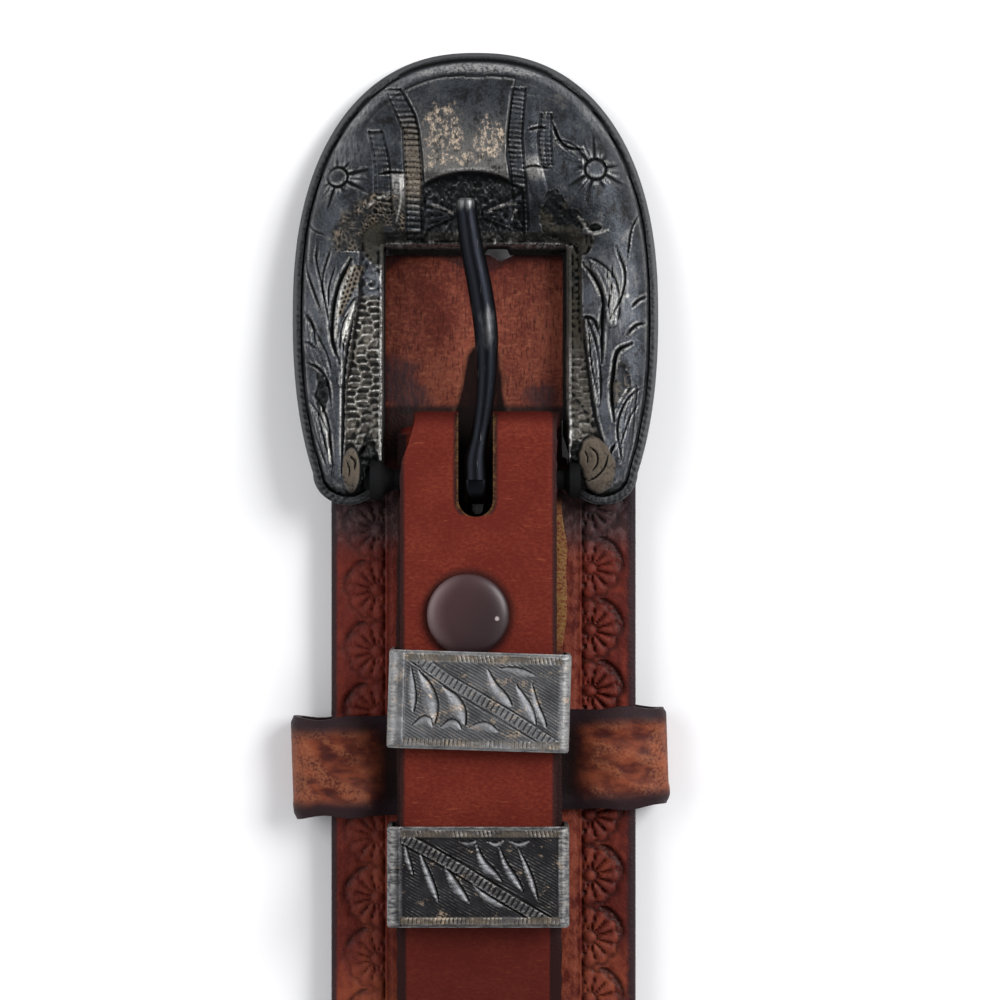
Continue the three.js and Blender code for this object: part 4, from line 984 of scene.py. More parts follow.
# width, depth and the points of each engraved line on the arms and shoulders
LINES = [
    (0.50, 0.30, [(-20.9, 30.5), (-21.0, 26.7), (-20.0, 23.4), (-18.9, 20.5)]),
    (0.45, 0.26, [(-19.5, 30.3), (-19.7, 27.4), (-19.1, 24.5), (-18.2, 20.1), (-17.6, 16.4)]),
    (0.40, 0.22, [(-17.8, 28.9), (-18.9, 25.2), (-18.7, 22.0)]),
    (0.40, 0.22, [(-17.3, 26.7), (-18.2, 23.4), (-18.0, 20.6)]),
    (0.75, 0.60, [(-15.4, 27.3), (-16.9, 24.1), (-17.6, 20.5), (-17.6, 17.2), (-16.7, 14.4)]),
    (0.35, 0.22, [(-15.3, 21.2), (-16.5, 18.9), (-16.7, 14.9)]),
    (0.35, 0.22, [(-15.5, 19.3), (-16.3, 16.6), (-16.2, 14.0)]),
    (0.60, 0.55, [(-14.7, 21.8), (-15.3, 19.0), (-15.9, 15.4), (-16.2, 11.3), (-16.3, 5.5), (-16.5, 0.7)]),
    (0.50, 0.30, [(-21.5, 21.2), (-20.3, 19.6), (-19.7, 16.8)]),
    (0.45, 0.28, [(-21.4, 17.2), (-20.4, 16.9), (-19.6, 16.2)]),
    (0.55, 0.34, [(-20.9, 14.6), (-19.3, 13.8), (-18.2, 12.0), (-17.8, 9.1)]),
    (0.50, 0.30, [(-20.4, 10.9), (-18.9, 9.1), (-18.0, 6.2), (-17.8, 2.2)]),
    (0.50, 0.30, [(-20.6, 9.1), (-19.7, 5.5), (-18.2, 1.4)]),
    (0.30, 0.20, [(-19.6, 9.0), (-18.8, 5.5), (-18.0, 2.6)]),
    (0.60, 0.50, [(-13.2, 4.6), (-14.6, 2.6), (-14.9, 0.6), (-14.1, -0.2)]),
    (0.70, 0.60, [(13.4, 27.0), (15.0, 24.9), (15.9, 22.4), (15.8, 19.6), (15.7, 14.5)]),
    (0.45, 0.30, [(17.4, 29.0), (18.6, 25.7), (18.2, 22.8), (16.7, 19.9)]),
    (0.30, 0.22, [(17.0, 27.0), (16.9, 23.5), (16.2, 20.4)]),
    (0.28, 0.18, [(16.3, 26.4), (16.6, 23.0), (16.4, 20.6)]),
    (0.50, 0.35, [(13.2, 20.3), (14.7, 19.9), (15.6, 17.4)]),
    (0.35, 0.22, [(14.1, 18.6), (14.4, 14.5), (15.2, 10.3)]),
    (0.60, 0.50, [(13.4, 20.0), (13.8, 15.5), (14.4, 10.8), (15.2, 6.5), (16.9, 1.0)]),
    (0.50, 0.36, [(21.4, 22.8), (20.3, 22.3), (19.4, 21.4)]),
    (0.50, 0.36, [(21.1, 19.5), (19.9, 19.1), (18.8, 18.0)]),
    (0.75, 0.60, [(19.4, 16.9), (17.7, 15.9), (17.2, 13.7), (16.9, 10.8), (17.2, 7.3)]),
    (0.45, 0.28, [(20.9, 11.6), (18.8, 9.9), (17.6, 6.6), (18.2, 2.1)]),
    (0.35, 0.22, [(20.3, 9.6), (19.0, 7.4), (18.0, 4.4)]),
    (0.55, 0.45, [(17.4, 4.6), (16.6, 2.9), (16.2, 0.2)]),
    (0.35, 0.22, [(15.6, 3.9), (14.9, 2.2), (15.5, 0.8)]),
    (0.60, 0.45, [(9.6, 44.4), (10.4, 42.4), (11.4, 41.3), (13.4, 41.0)]),
    (0.50, 0.40, [(-12.0, 37.9), (-10.6, 38.1), (-8.7, 38.0)]),
    (0.45, 0.32, [(5.9, 38.6), (7.2, 38.9), (9.4, 38.6)]),
    (0.45, 0.30, [(6.4, 43.4), (8.0, 43.8), (9.2, 43.6)]),
    (0.40, 0.26, [(-21.9, 33.5), (-20.2, 31.2), (-18.6, 30.4)]),
    (0.40, 0.26, [(20.6, 33.4), (19.4, 31.0), (18.9, 27.4)]),
]
# the same for the worn tips of the arms
TIP_LINES = [
    (0.4, 0.3, [(14.1, 4.1), (15.0, 3.3), (15.1, 2.0), (14.4, 1.0)]), (0.3, 0.25, [(13.5, 3.6), (13.9, 2.8), (13.8, 1.9)]),
    (0.4, 0.3, [(12.7, 0.6), (14.2, 0.0), (15.8, 1.3), (16.5, 3.4)]), (0.4, 0.3, [(-15.5, 3.0), (-14.8, 2.2), (-14.9, 1.2)]),
    (0.3, 0.25, [(-15.9, 2.4), (-15.5, 1.3), (-15.6, 0.2)]),
]
# raised leaves: height, half width and the points of the spine
LEAVES = [
    (0.34, 1.0, [(-14.7, 22.6), (-15.9, 18.6), (-16.5, 12.0)]),
    (0.34, 1.2, [(14.3, 27.4), (16.2, 24.4), (17.0, 19.5)]),
    (0.30, 0.8, [(13.6, 20.2), (14.3, 16.0), (15.0, 9.5)]),
    (0.22, 1.2, [(-21.0, 20.0), (-20.4, 17.0), (-18.4, 13.0)]),
    (0.22, 1.0, [(-20.6, 9.6), (-19.4, 6.0), (-18.2, 1.0)]),
    (0.22, 1.1, [(19.8, 11.6), (18.6, 8.0), (18.0, 2.0)]),
    (0.25, 0.9, [(10.0, 42.0), (11.8, 40.6), (13.2, 39.8)]),
]
# edges and streaks given a painted highlight: half width and points
HIGHLIGHT_LINES = [
    (0.26, [(-14.9, 27.1), (-16.0, 24.6), (-17.0, 21.2), (-17.3, 17.6)]), (0.62, [(-14.8, 21.9), (-15.7, 19.6), (-16.2, 17.4)]),
    (0.18, [(-12.15, 17.6), (-12.0, 9.0), (-11.7, 2.6)]), (0.22, [(13.4, 27.3), (14.5, 25.4), (15.4, 22.8)]),
    (0.16, [(16.3, 25.6), (16.8, 22.6), (16.9, 20.2)]), (0.13, [(16.9, 24.8), (17.3, 22.2), (17.4, 19.9)]),
    (0.16, [(17.4, 25.9), (17.9, 23.8), (17.9, 21.4)]), (0.35, [(18.3, 22.6), (18.8, 22.8)]),
    (0.3, [(16.8, 20.6), (16.9, 19.8)]), (0.14, [(-19.2, 9.5), (-18.3, 5.5), (-17.9, 2.0)]),
    (0.16, [(-9.9, 31.7), (-9.2, 34.8), (-9.3, 37.4)]), (0.22, [(-5.9, 34.3), (-4.4, 33.9), (-2.9, 33.2)]),
    (0.22, [(1.2, 33.2), (3.4, 34.1), (5.0, 34.4)]), (0.2, [(5.2, 34.2), (4.6, 32.6)]), (0.16, [(17.5, 9.2), (18.9, 11.4)]),
    (0.2, [(-13.5, 33.6), (-12.0, 34.9), (-10.6, 35.3)]), (0.22, [(12.6, 33.0), (14.4, 30.6), (16.4, 30.9)]),
]


def band_mask(x, y, table, soft=0.12):
    rows, left, right = (np.array(column) for column in zip(*table))
    a, b = np.interp(y, rows, left), np.interp(y, rows, right)
    inside = ease(a - soft, a + soft, x) * ease(b + soft, b - soft, x)
    return inside * (y > rows[0]) * (y < rows[-1]), np.minimum(x - a, b - x)


def engrave_lines(x, y, table):
    """Depth of the tapering cuts of a table of lines, 0 or less."""
    depth = np.zeros(x.shape)
    for width, deep, points in table:
        line = smooth_line(points, 0.3)
        near = (x > line[:, 0].min() - 1) & (x < line[:, 0].max() + 1)
        near &= (y > line[:, 1].min() - 1) & (y < line[:, 1].max() + 1)
        away, along, side = near_line(x[near], y[near], line)
        size = np.hypot(*np.diff(line, axis=0).T).sum()
        taper = ease(0, 0.2 * size, along) * ease(size, 0.75 * size, along) * 0.7 + 0.3
        half = width * (0.4 + 0.6 * taper) / 2
        cut = -deep * taper * ease(half, 0, away * np.where(side > 0, 1.5, 0.8))
        burr = 0.12 * deep * ease(0.35, 0, np.abs(away - half - 0.12))
        depth[near] += cut + burr
    return depth


def raise_leaves(x, y, table, veins=0.1):
    """Height of domed leaves with fine veins along their spines."""
    height = np.zeros(x.shape)
    for high, wide, points in table:
        line = smooth_line(points, 0.3)
        near = (x > line[:, 0].min() - wide) & (x < line[:, 0].max() + wide)
        near &= (y > line[:, 1].min() - wide) & (y < line[:, 1].max() + wide)
        away, along, side = near_line(x[near], y[near], line)
        size = np.hypot(*np.diff(line, axis=0).T).sum()
        t = along / size
        half = wide * np.sin(pi * np.clip(0.12 + 0.88 * (1 - t), 0, 1)) ** 0.7 + 0.05
        dome = np.maximum(0, 1 - (away / half) ** 2) ** 0.6
        vein = np.maximum(0, np.cos(2 * pi * (1.9 * side * away / half + 0.3 * t))) ** 2
        ditch = ease(0.22, 0.0, np.abs(away - half - 0.05)) * ease(1.0, 0.9, t) * (side > 0)
        height[near] += high * dome - veins * vein * dome - 0.16 * ditch
    return height


def scoops(x, y, pitch_x=1.5, pitch_y=1.02):
    """Slanting columns of small punched hollows, each row a step down from the last."""
    lean = x + 0.35 * np.sin(y * 1.1) + 0.2 * lattice(x, y, 2.0, 47)
    column = np.floor(lean / pitch_x)
    v = y / pitch_y + 0.5 * (column % 2) + 0.22 * lattice(column, y, 2.3, 41)
    fu, fv = lean / pitch_x - column, v - np.floor(v)
    bent = fv + 0.5 * (fu - 0.4) ** 2
    bowl = ease(0.02, 0.18, bent) * ease(1.02, 0.4, bent) * (0.5 + 0.5 * ease(0.0, 0.2, fu) * ease(1.0, 0.75, fu))
    return -0.36 * bowl * (0.75 + 0.35 * lattice(x, y, 0.9, 42))


def punched(across, along, pitch=0.62, seed=43):
    """Rows of small punched dots, from 0 in the holes to 1 on the ridges between."""
    row = np.floor(across / pitch)
    fu = along / (pitch * 1.35) + 0.5 * (row % 2) + 0.2 * lattice(across, along, 1.0, seed)
    fu, fv = fu - np.floor(fu), across / pitch - row
    return 1 - np.sin(pi * fu) ** 0.6 * np.sin(pi * fv) ** 0.6


def daisy_cuts(x, y, cx, cy, button):
    out, up = x - cx, y - cy
    radius, angle = np.hypot(out, up), np.arctan2(up, out)
    ring = -0.24 * ease(0.24, 0.05, np.abs(radius - button))
    centre = 0.22 * np.sqrt(np.clip(1 - (radius / button) ** 2, 0, 1))
    petal = angle * 9 / (2 * pi) + 0.18
    side = np.abs(petal - np.round(petal))
    reach = 4.4 + 1.3 * np.sin(3 * angle + cx)
    ray = -0.17 * ease(0.30, 0.0, (0.5 - side) * radius * 2 * pi / 9) * ease(reach, reach - 2, radius)
    crease = -0.14 * ease(0.2, 0.0, side * radius * 2 * pi / 9) * ease(reach - 1.2, reach - 2.4, radius)
    swell = 0.30 * np.cos(pi * side) * ease(reach, button, radius)
    return centre + ring + (ray + crease + swell) * ease(button, button + 0.3, radius)


x, y, z = vertices_of(horseshoe)
face = np.array([value.value for value in horseshoe.data.attributes["face"].data]) > 0.99
step = 6
toe_arc = np.concatenate([outer_line[::step], outer_line[-1:]])
window_arc = np.concatenate([inner_line[24:-24:step], inner_line[-25:-24]])
left_toe = np.concatenate([inner_line[:25][::-1], outer_line[:1]])
right_toe = left_toe * (-1, 1)
d_out, run, _ = near_line(x, y, toe_arc)
d_toe = np.minimum(near_line(x, y, left_toe)[0], near_line(x, y, right_toe)[0])
d_in = near_line(x, y, window_arc)[0]
to_edge = np.minimum(d_out, d_toe)
width = d_out + d_in
base = frame_base(y)
smooth_top = base + frame_face(x, y, to_edge, np.maximum(width, 2.5))

arms = ease(WINDOW_TOP_Y + 1.5, WINDOW_TOP_Y - 1.5, y)
dome_left = np.interp(y, [-4, 5.5, 11.3, 15.4, 19.0, 22.0, 27.2], [-15.9, -16.3, -16.2, -15.9, -15.3, -14.6, -14.4])
dome_right = np.interp(y, [-4, 1.0, 6.5, 10.8, 15.5, 20.2, 27.0], [16.6, 16.4, 15.2, 14.4, 13.8, 13.3, 13.2])
inside_dome = np.where(x < 0, x - dome_left, dome_right - x)
strip = arms * ease(-0.1, 0.45, inside_dome) * ease(-2.5, 0.5, y)
relief = -0.55 * strip
scooped = strip * ease(23.5, 22, y) * ease(2.5, 4.5, y)
faint = np.where(x > 0, 0.5 + 0.3 * ease(9, 7, y), 1.0)
relief += scooped * faint * scoops(np.abs(d_in), y + 0.35 * np.sin(y * 0.55))
relief += strip * ease(22, 23.5, y) * 0.2 * lattice(x, y, 0.45, 21)
relief += strip * ease(4.5, 2.5, y) * 0.2 * lattice(x, y, 0.4, 22)
window_lip = ease(0.36, 0.05, np.abs(d_in - 0.15)) * ease(-1, 1, y) * (y < WINDOW_TOP_Y)
relief += window_lip * 0.25 * strip

panel, panel_side = band_mask(x, y, PANEL, 0.1)
arch = 38.25 - 0.045 * (x + 0.6) ** 2
panel = panel * ease(arch - 0.12, arch + 0.12, y) * ease(3.0, 3.4, d_out)
relief += 0.42 * panel
under_panel = ease(-7.0, -6.4, x) * ease(6.4, 5.8, x) * ease(arch + 0.1, arch - 0.5, y) * (y > WINDOW_TOP_Y)
relief -= 0.38 * under_panel
fan_out = np.where(x < -0.8, -2.6 - x, x - 0.9)
fan_up = np.abs(y - 33.1)
fan_end = np.where(x < 0, 3.7, 4.5 + 0.5 * ease(0.2, 1.6, fan_up))
fans = ease(0.0, 0.15, fan_out) * ease(fan_end, fan_end - 0.2, fan_out) \
    * ease(0.12, -0.06, fan_up - 0.35 - 0.42 * fan_out) * under_panel
relief += fans * (0.42 + 0.10 * np.sin(24 * np.arctan2(y - 33.1, fan_out + 0.6)) - 0.05 * fan_out)
for table, pitch, deep in ((BAND_LEFT, 0.72, 0.28), (BAND_RIGHT, 0.62, 0.22), (KNURL_LEFT, 0.72, 0.24), (KNURL_RIGHT, 0.6, 0.2)):
    mask, side = band_mask(x, y, table)
    ridged = np.abs(np.sin(pi * (y + 0.06 * x + 0.12 * lattice(x, y, 1.6, 52)) / pitch)) ** 0.7
    worn_down = 0.72 + 0.45 * lattice(x, y, 1.5, 51)
    columns_cut = 0.5 * ease(0.2, 0.0, np.abs(side - 0.75)) if table in (KNURL_LEFT, KNURL_RIGHT) else 0
    relief -= mask * (0.16 + (deep * (1 - ridged) + 0.14 * columns_cut) * worn_down)
    relief -= 0.15 * ease(0.28, 0.05, np.abs(side)) * (y > table[0][0]) * (y < table[-1][0])
for table in (STRIPE_LEFT, STRIPE_RIGHT):
    mask, side = band_mask(x, y, table)
    relief += mask * 0.2 * np.sqrt(np.clip(side, 0, 0.9) / 0.9)

for cx, cy, button in DAISIES:
    near = np.hypot(x - cx, y - cy) < 6.5
    relief[near] += daisy_cuts(x[near], y[near], cx, cy, button) * ease(1.6, 2.6, d_out[near])
relief += engrave_lines(x, y, LINES)
relief += raise_leaves(x, y, LEAVES)

worn_tip = np.maximum(ease(1.1, 0.95, np.hypot((x + 15.3) / 1.05, (y - 1.2) / 2.7)),
                      ease(1.1, 0.95, np.hypot((x - 15.0 + 0.12 * (y - 2)) / 2.15, (y - 1.8) / 3.4) + 0.06 * lattice(x, y, 0.8, 46)))
relief *= 1 - worn_tip
relief += 0.18 * worn_tip * ease(1.0, 0.2, np.abs(np.abs(x) - 15.1) / 2.2)
corner_out = np.hypot(x + WINDOW_HALF, y - WINDOW_TOP_Y)
ragged_out = corner_out + 0.45 * lattice(x, y, 1.4, 27) + 0.25 * lattice(x, y, 0.6, 48)
left_rough = ease(6.3, 5.3, ragged_out) * ease(2.0, 2.6, corner_out) * (y > 28.4) * ease(-8.6, -8.9, x)
wedge, wedge_run, _ = near_line(x, y, [(-14.9, 26.4), (-15.9, 23.2), (-16.9, 20.4)])
left_wedge = ease(0.1, -0.1, wedge - 1.05 + 0.13 * wedge_run) * ease(WINDOW_TOP_Y - 2.6, WINDOW_TOP_Y - 3.0, y)
olive = np.maximum(ease(2.9, 2.4, corner_out) * (x < -WINDOW_HALF + 0.3),
                   ease(1.9, 1.4, np.abs(x - 12.9)) * ease(14.5, 19.0, y) * ease(30.0, 28.5, y) * (x < dome_right))
right_black = blotch_mask(x, y, (9.7, 34.5, 1.3, 1.5), (11.3, 32.6, 1.7, 0.9), (14.9, 31.3, 0.9, 0.45), (13.2, 31.6, 1.0, 0.5))
right_rough = blotch_mask(x, y, (10.0, 32.6, 1.7, 2.4), (11.9, 30.9, 1.7, 1.6), (13.4, 29.4, 1.3, 1.3), (14.9, 31.3, 0.8, 0.45))
olive = np.maximum(olive, right_rough * (1 - right_black))
curls = blotch_mask(x, y, (18.0, 12.2, 1.1, 2.3), (17.2, 9.8, 0.5, 1.2))
lip_rough = ease(1.7, 1.2, d_in) * ease(-12.5, -11, x) * ease(13, 11, x) * (y > WINDOW_TOP_Y)
ground = blotch_mask(x, y, (-19.0, 10.6, 0.8, 2.6), (-13.2, 1.6, 1.2, 4.2), (12.6, 1.6, 0.9, 3.6))
toe_ring = ease(1.0, -0.6, y) * ease(2.3, 1.6, to_edge)
rough = np.clip(right_black + lip_rough + ground + toe_ring + under_panel, 0, 1)
pitted = lattice(x, y, 0.62, 23) + 0.7 * lattice(x, y, 0.3, 24)
rough = rough * (1 - worn_tip)
relief += np.maximum(rough, right_rough) * (0.20 * pitted - 0.16) - 0.22 * right_rough
dots = punched(ragged_out, 4.0 * np.arctan2(y - WINDOW_TOP_Y, -WINDOW_HALF - x), 0.5) * left_rough
dots *= 0.6 + 0.6 * lattice(x, y, 0.9, 49)
dots = dots + punched(wedge + 0.3, wedge_run, 0.52, 44) * left_wedge * (1 - left_rough)
relief += 0.22 * dots - 0.2 * np.clip(left_rough + left_wedge, 0, 1)
curled = ease(0.25, 0.05, np.abs(lattice(x, y, 0.7, 45))) * curls
relief += 0.12 * curled - 0.18 * curls
relief += engrave_lines(x, y, TIP_LINES) * worn_tip
relief += 0.02 * lattice(x, y, 1.1, 25) + 0.05 * lattice(x, y, 4.0, 26)

rope = np.cos(2 * pi * (run / 0.86 + to_edge * 0.5))
in_rim = ease(RIM, RIM * 0.8, to_edge)
rope *= 0.25 + 0.75 * ease(30, 4, y)
relief = relief * (1 - in_rim) + in_rim * (0.045 * rope + 0.03 * lattice(x, y, 0.4, 50) - 0.1 - 0.3 * ease(0.45, 0.0, to_edge))
relief -= (0.18 + 0.14 * ease(8, 0, y)) * ease(0.26, 0.05, np.abs(to_edge - RIM - 0.1))
bead = ease(41.0, 45.0, y)
relief -= bead * 0.09 * ease(0.3, 0.05, np.abs(d_out - 3.15))
relief += bead * 0.12 * ease(1.0, 0.2, np.abs(d_out - 2.1))

floor = np.where(y < 0, BAR_Z - np.sqrt(np.maximum(KNUCKLE ** 2 - y ** 2, 0.0)), base)
new_z = np.maximum(smooth_top + relief, floor + 1)
z = np.where(face, new_z, z)
points = place(np.column_stack([x + FRAME_X, y, z]))
horseshoe.data.vertices.foreach_set("co", points.ravel())
horseshoe.data.update()
relief_marks(horseshoe, 5)
# hollow measures broad swells and hollows, which the finish uses for painted highlight and painted shade.
relief_marks(horseshoe, 40, "hollow")
rubbed = np.zeros(x.shape)
for half, points in HIGHLIGHT_LINES:
    away, along, _ = near_line(x, y, smooth_line(points, 0.5))
    rubbed = np.maximum(rubbed, ease(half, half * 0.3, away) * ease(0.0, 0.8, along))
tan_mark = np.clip(dots * 1.2 + 0.25 * lip_rough + 0.7 * curled, 0, 1)
tan_mark += 0.5 * band_mask(x, y, BAND_LEFT)[0] * ease(46, 42, y) * ease(33, 36, y)
stripe = band_mask(x, y, STRIPE_LEFT)[0] * ease(38.3, 37.8, y) * ease(32.6, 35.5, y)
stripe += 0.7 * band_mask(x, y, STRIPE_RIGHT)[0] * ease(40.6, 39.6, y) * ease(36.8, 37.9, y)
patina = blotch_mask(x, y, (-3.9, 43.6, 2.4, 3.4), (1.7, 42.6, 1.9, 2.4), (-2.6, 39.8, 3.4, 0.8), (-5.6, 40.4, 0.6, 2.0))
black = rough * (1 - 0.45 * under_panel * (1 + 0.6 * pitted)) + 0.3 * under_panel * (1 - fans) + 0.7 * np.clip(left_rough + left_wedge + curls, 0, 1) * (1 - dots)
marked(horseshoe, panel=panel * ease(48, 39, y) * face, patina=patina * panel * face, tan=tan_mark * face,
       tip=worn_tip * face, strip=scooped * face, olive=olive * face, rubbed=rubbed * face, fan=fans * face,
       black=np.clip(black, 0, 1) * face, stripe=stripe * face, rim=ease(RIM + 0.1, RIM - 0.1, to_edge) * face,
       bead=np.maximum(bead * ease(0.9, 0.3, np.abs(d_out - 1.9)), blotch_mask(
           x, y, (17.3, 22.5, 1.9, 5.0), (-18.0, 22.0, 1.2, 3.5), (-16.0, 41.0, 2.0, 2.0), soft=0.6)) * face,
       step=ease(1.0, 0.4, np.abs(to_edge - RIM - 0.1)) * ease(-4, 4, y))
smooth_by_angle(horseshoe, 60)

bpy.ops.object.select_all(action="DESELECT")
bar_length = 2 * WINDOW_HALF + 2 * 2.2
bpy.ops.mesh.primitive_cylinder_add(
    vertices=40, radius=BAR_RADIUS * MM, depth=bar_length * MM, end_fill_type="NGON",
    location=place((FRAME_X, 0, BAR_Z)), rotation=(0, radians(90), 0))
bar = bpy.context.object
bpy.ops.object.transform_apply(location=True, rotation=True)
for side, lug in ((-1, [(2.5, 0), (2.45, 1.3), (2.2, 1.5), (1.7, 1.9), (1.4, 2.5), (1.22, 3.0)]),
                  (1, [(2.3, 0), (2.25, 1.3), (1.8, 1.5), (1.4, 1.75), (1.22, 1.95)])):
    steps = [(lug[0][0], 0, 0, 0)]
    steps += [(r, -side * (reach - before), 0, 0) for (_, before), (r, reach) in zip(lug, lug[1:])]
    start = (FRAME_X + side * (WINDOW_HALF + 1.4), 0, BAR_Z)
    carve(bar, pull_up(steps, 40, start, (0, radians(90), 0)), "UNION")
marked(bar, face=np.full(len(bar.data.vertices), 0.5))
carve(horseshoe, bar, "UNION")
smooth_by_angle(horseshoe, 60)

silver = Finish("oxidised silver", metallic=0.85)
cloudy = silver.cloud(4.0, 4)
fine = silver.cloud(0.32, 5)
grit = silver.cloud(0.13, 3)
scuff = silver.cloud(0.7, 4, (0.5, 3, 1), 1.3)
flake = silver.cloud(0.75, 8, (0.9, 1.3, 1), 2.2, 0.85)
ridge, hollow = silver.mark("ridge"), silver.mark("hollow")
lie = silver.axis("Y")
arm_light = lie.between((BAR_Y + 34) * MM, (BAR_Y + 22) * MM)
across_frame = silver.axis("X")
arm_light = arm_light * across_frame.between(0.020, -0.004).maths("MAXIMUM", 0.45)
dusky = silver.tone((0.010, 0.012, 0.015), (0.027, 0.029, 0.034), arm_light)
pale = silver.tone((0.050, 0.056, 0.066), (0.096, 0.104, 0.122), arm_light)
colour = silver.tone(dusky, pale, (cloudy * 0.55 + fine * 0.45 + grit * 0.35).between(0.48, 0.86))
colour = silver.tone(colour, (0.180, 0.172, 0.160), silver.mark("panel") * (0.10 + fine * 1.0))
grime = silver.cloud(2.2, 8, (1, 1.4, 1), 5.0, 0.8)
colour = silver.tone(colour, (0.009, 0.008, 0.007), grime.between(0.50, 0.62) * 0.85)
colour = silver.tone(colour, (0.125, 0.120, 0.112), grime.between(0.46, 0.36) * 0.55)
# Painted highlight along the raised bead at the top and on soft patches of both arms.
colour = silver.tone(colour, (0.14, 0.145, 0.155), silver.mark("bead") * scuff.between(0.30, 0.72))
# Painted highlight on the smooth stripes beside the ridged bands.
colour = silver.tone(colour, (0.30, 0.29, 0.28), silver.mark("stripe") * (fine * 0.8 + scuff * 0.6).between(0.45, 0.8))
colour = silver.tone(colour, (0.085, 0.075, 0.060), silver.mark("strip") * 0.8)
# Raised edges worn bright, with a painted highlight on the broad swells.
lifted = ridge.between(0.010, 0.07) + hollow.between(0.15, 0.4) * 0.35
colour = silver.tone(colour, (0.33, 0.325, 0.315), lifted * (scuff * 0.5 + fine * 0.6).between(0.42, 0.66) * 0.85)
colour = silver.tone(colour, (0.27, 0.215, 0.155), silver.mark("tan") * (fine * 0.9 + grit * 0.4).between(0.40, 0.75))
colour = silver.tone(colour, (0.068, 0.060, 0.044), silver.mark("olive") * (fine * 0.8 + scuff * 0.5).between(0.35, 0.75) * 0.9)
colour = silver.tone(colour, (0.018, 0.017, 0.014), silver.mark("olive") * grit.between(0.52, 0.68) * 0.8)
colour = silver.tone(colour, (0.060, 0.062, 0.076), silver.mark("fan") * 0.85)
colour = silver.tone(colour, (0.145, 0.115, 0.085), silver.mark("tip") * (cloudy * 0.5 + fine * 0.9 + scuff * 0.4).between(0.55, 1.0) * 0.95)
colour = silver.tone(colour, (0.56, 0.45, 0.34), silver.mark("patina") * (flake * 0.85 + scuff * 0.2).between(0.52, 0.60) * (0.5 + fine * 0.7))
colour = silver.tone(colour, (0.009, 0.010, 0.010), silver.mark("black") * 0.9)
roped = silver.tone((0.016, 0.017, 0.018), (0.088, 0.090, 0.094), (ridge * 4.0 + grit * 0.8 + fine * 0.5).between(0.50, 0.95))
colour = silver.tone(colour, roped, silver.mark("rim"))
# Painted highlight along the listed edges and streaks.
colour = silver.tone(colour, (0.46, 0.45, 0.42), silver.mark("rubbed") * (fine * 0.7 + scuff * 0.5).between(0.40, 0.68) * 0.85)
# Cuts black with oxide, and broad hollows darkened as painted shade.
sunk = ridge.between(-0.010, -0.06) + hollow.between(-0.10, -0.32)
colour = silver.tone(colour, (0.006, 0.007, 0.007), sunk.between(0.0, 1.0) * (0.95 - silver.mark("step") * 0.6))
# Painted shade: the walls, back and bar are painted nearly black.
off_face_shade = silver.mark("face").between(0.95, 0.45)
colour = silver.tone(colour, (0.007, 0.007, 0.007), off_face_shade * 0.95)
matt = 0.35 + cloudy * 0.14 + ridge.between(0.0, -0.08) * 0.3 + silver.mark("tan") * 0.3 + silver.mark("olive") * 0.3
matt = matt + silver.mark("tip") * 0.35 + silver.mark("rim") * 0.2 + off_face_shade * 0.4 + silver.mark("panel") * 0.1
silver.dress(horseshoe, colour, matt, fine * 0.8 + grit * 0.5 + scuff * 0.4, 0.07)
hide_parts("buckle_frame")
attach(horseshoe, "buckle")

# The keepers
# Two bands of engraved silver, closed round both layers of the billet with room for the belt's tip.
# Leaves and a knurled diagonal stand up from a hatched ground that has gone black.
KEEPER_LOW, KEEPER_HIGH, KEEPER_WALL, KEEPER_FACE, KEEPER_ROUND = 6.9, 15.25, 0.55, 1.0, 1.3
KEEPER_HALF = UNDER_HALF + 0.42 + KEEPER_WALL
# depth, half width, spine of each bright-cut leaf
UPPER_LEAVES = [
    (0.30, 0.55, [(-8.4, 3.9), (-8.2, 1.6), (-8.0, -1.4)]), (0.40, 1.1, [(-7.4, 3.4), (-6.3, 1.2), (-5.4, -2.6)]),
    (0.38, 1.0, [(-4.4, 1.6), (-3.0, 0.0), (-1.7, -2.7)]), (0.34, 0.9, [(1.0, 3.8), (1.9, 1.5), (3.9, -0.3)]),
    (0.30, 0.75, [(4.5, 2.1), (5.5, 0.2), (6.9, -2.4)]), (0.30, 0.55, [(6.4, 2.3), (7.0, -0.4), (8.3, -2.9)]),
    (0.24, 0.5, [(2.4, 4.1), (4.0, 4.0), (6.6, 3.4)]), (0.30, 0.6, [(-7.9, -3.0), (-6.5, -2.4), (-5.6, -3.2)]),
    (0.28, 0.6, [(-4.6, -3.3), (-3.2, -2.7), (-2.1, -3.4)]), (0.24, 0.6, [(-1.2, -3.3), (0.6, -2.9), (2.4, -3.6)]),
]
UPPER_BAND = [(-8.4, 5.6), (-4.6, 2.9), (-0.6, 0.6), (3.4, -1.6), (9.4, -5.1)]
LOWER_LEAVES = [
    (0.30, 0.42, [(-9.0, 4.4), (-8.6, 2.2), (-8.0, 0.4)]), (0.40, 0.55, [(-7.2, 3.4), (-6.2, 0.4), (-4.9, -2.9)]),
    (0.42, 0.7, [(-4.2, 1.9), (-2.9, -0.8), (-1.2, -3.0)]), (0.36, 0.7, [(-0.6, -0.8), (1.0, -2.3), (3.2, -3.5)]),
    (0.40, 0.7, [(-0.2, 3.9), (0.7, 1.6), (2.8, -0.4)]), (0.40, 0.6, [(2.6, 3.6), (3.5, 1.2), (5.4, -1.6)]),
    (0.38, 0.5, [(5.0, 3.4), (6.0, 0.9), (7.2, -2.6)]), (0.24, 0.35, [(-2.3, 4.4), (-1.2, 4.1), (-0.3, 4.4)]),
    (0.24, 0.35, [(1.0, 4.4), (2.2, 4.0), (3.0, 4.4)]), (0.24, 0.35, [(3.8, 4.4), (5.0, 4.0), (6.2, 4.4)]),
]
LOWER_BAND = [(-10.0, 5.3), (-5.6, 2.9), (-1.6, 0.6), (2.2, -1.8), (8.6, -5.6)]


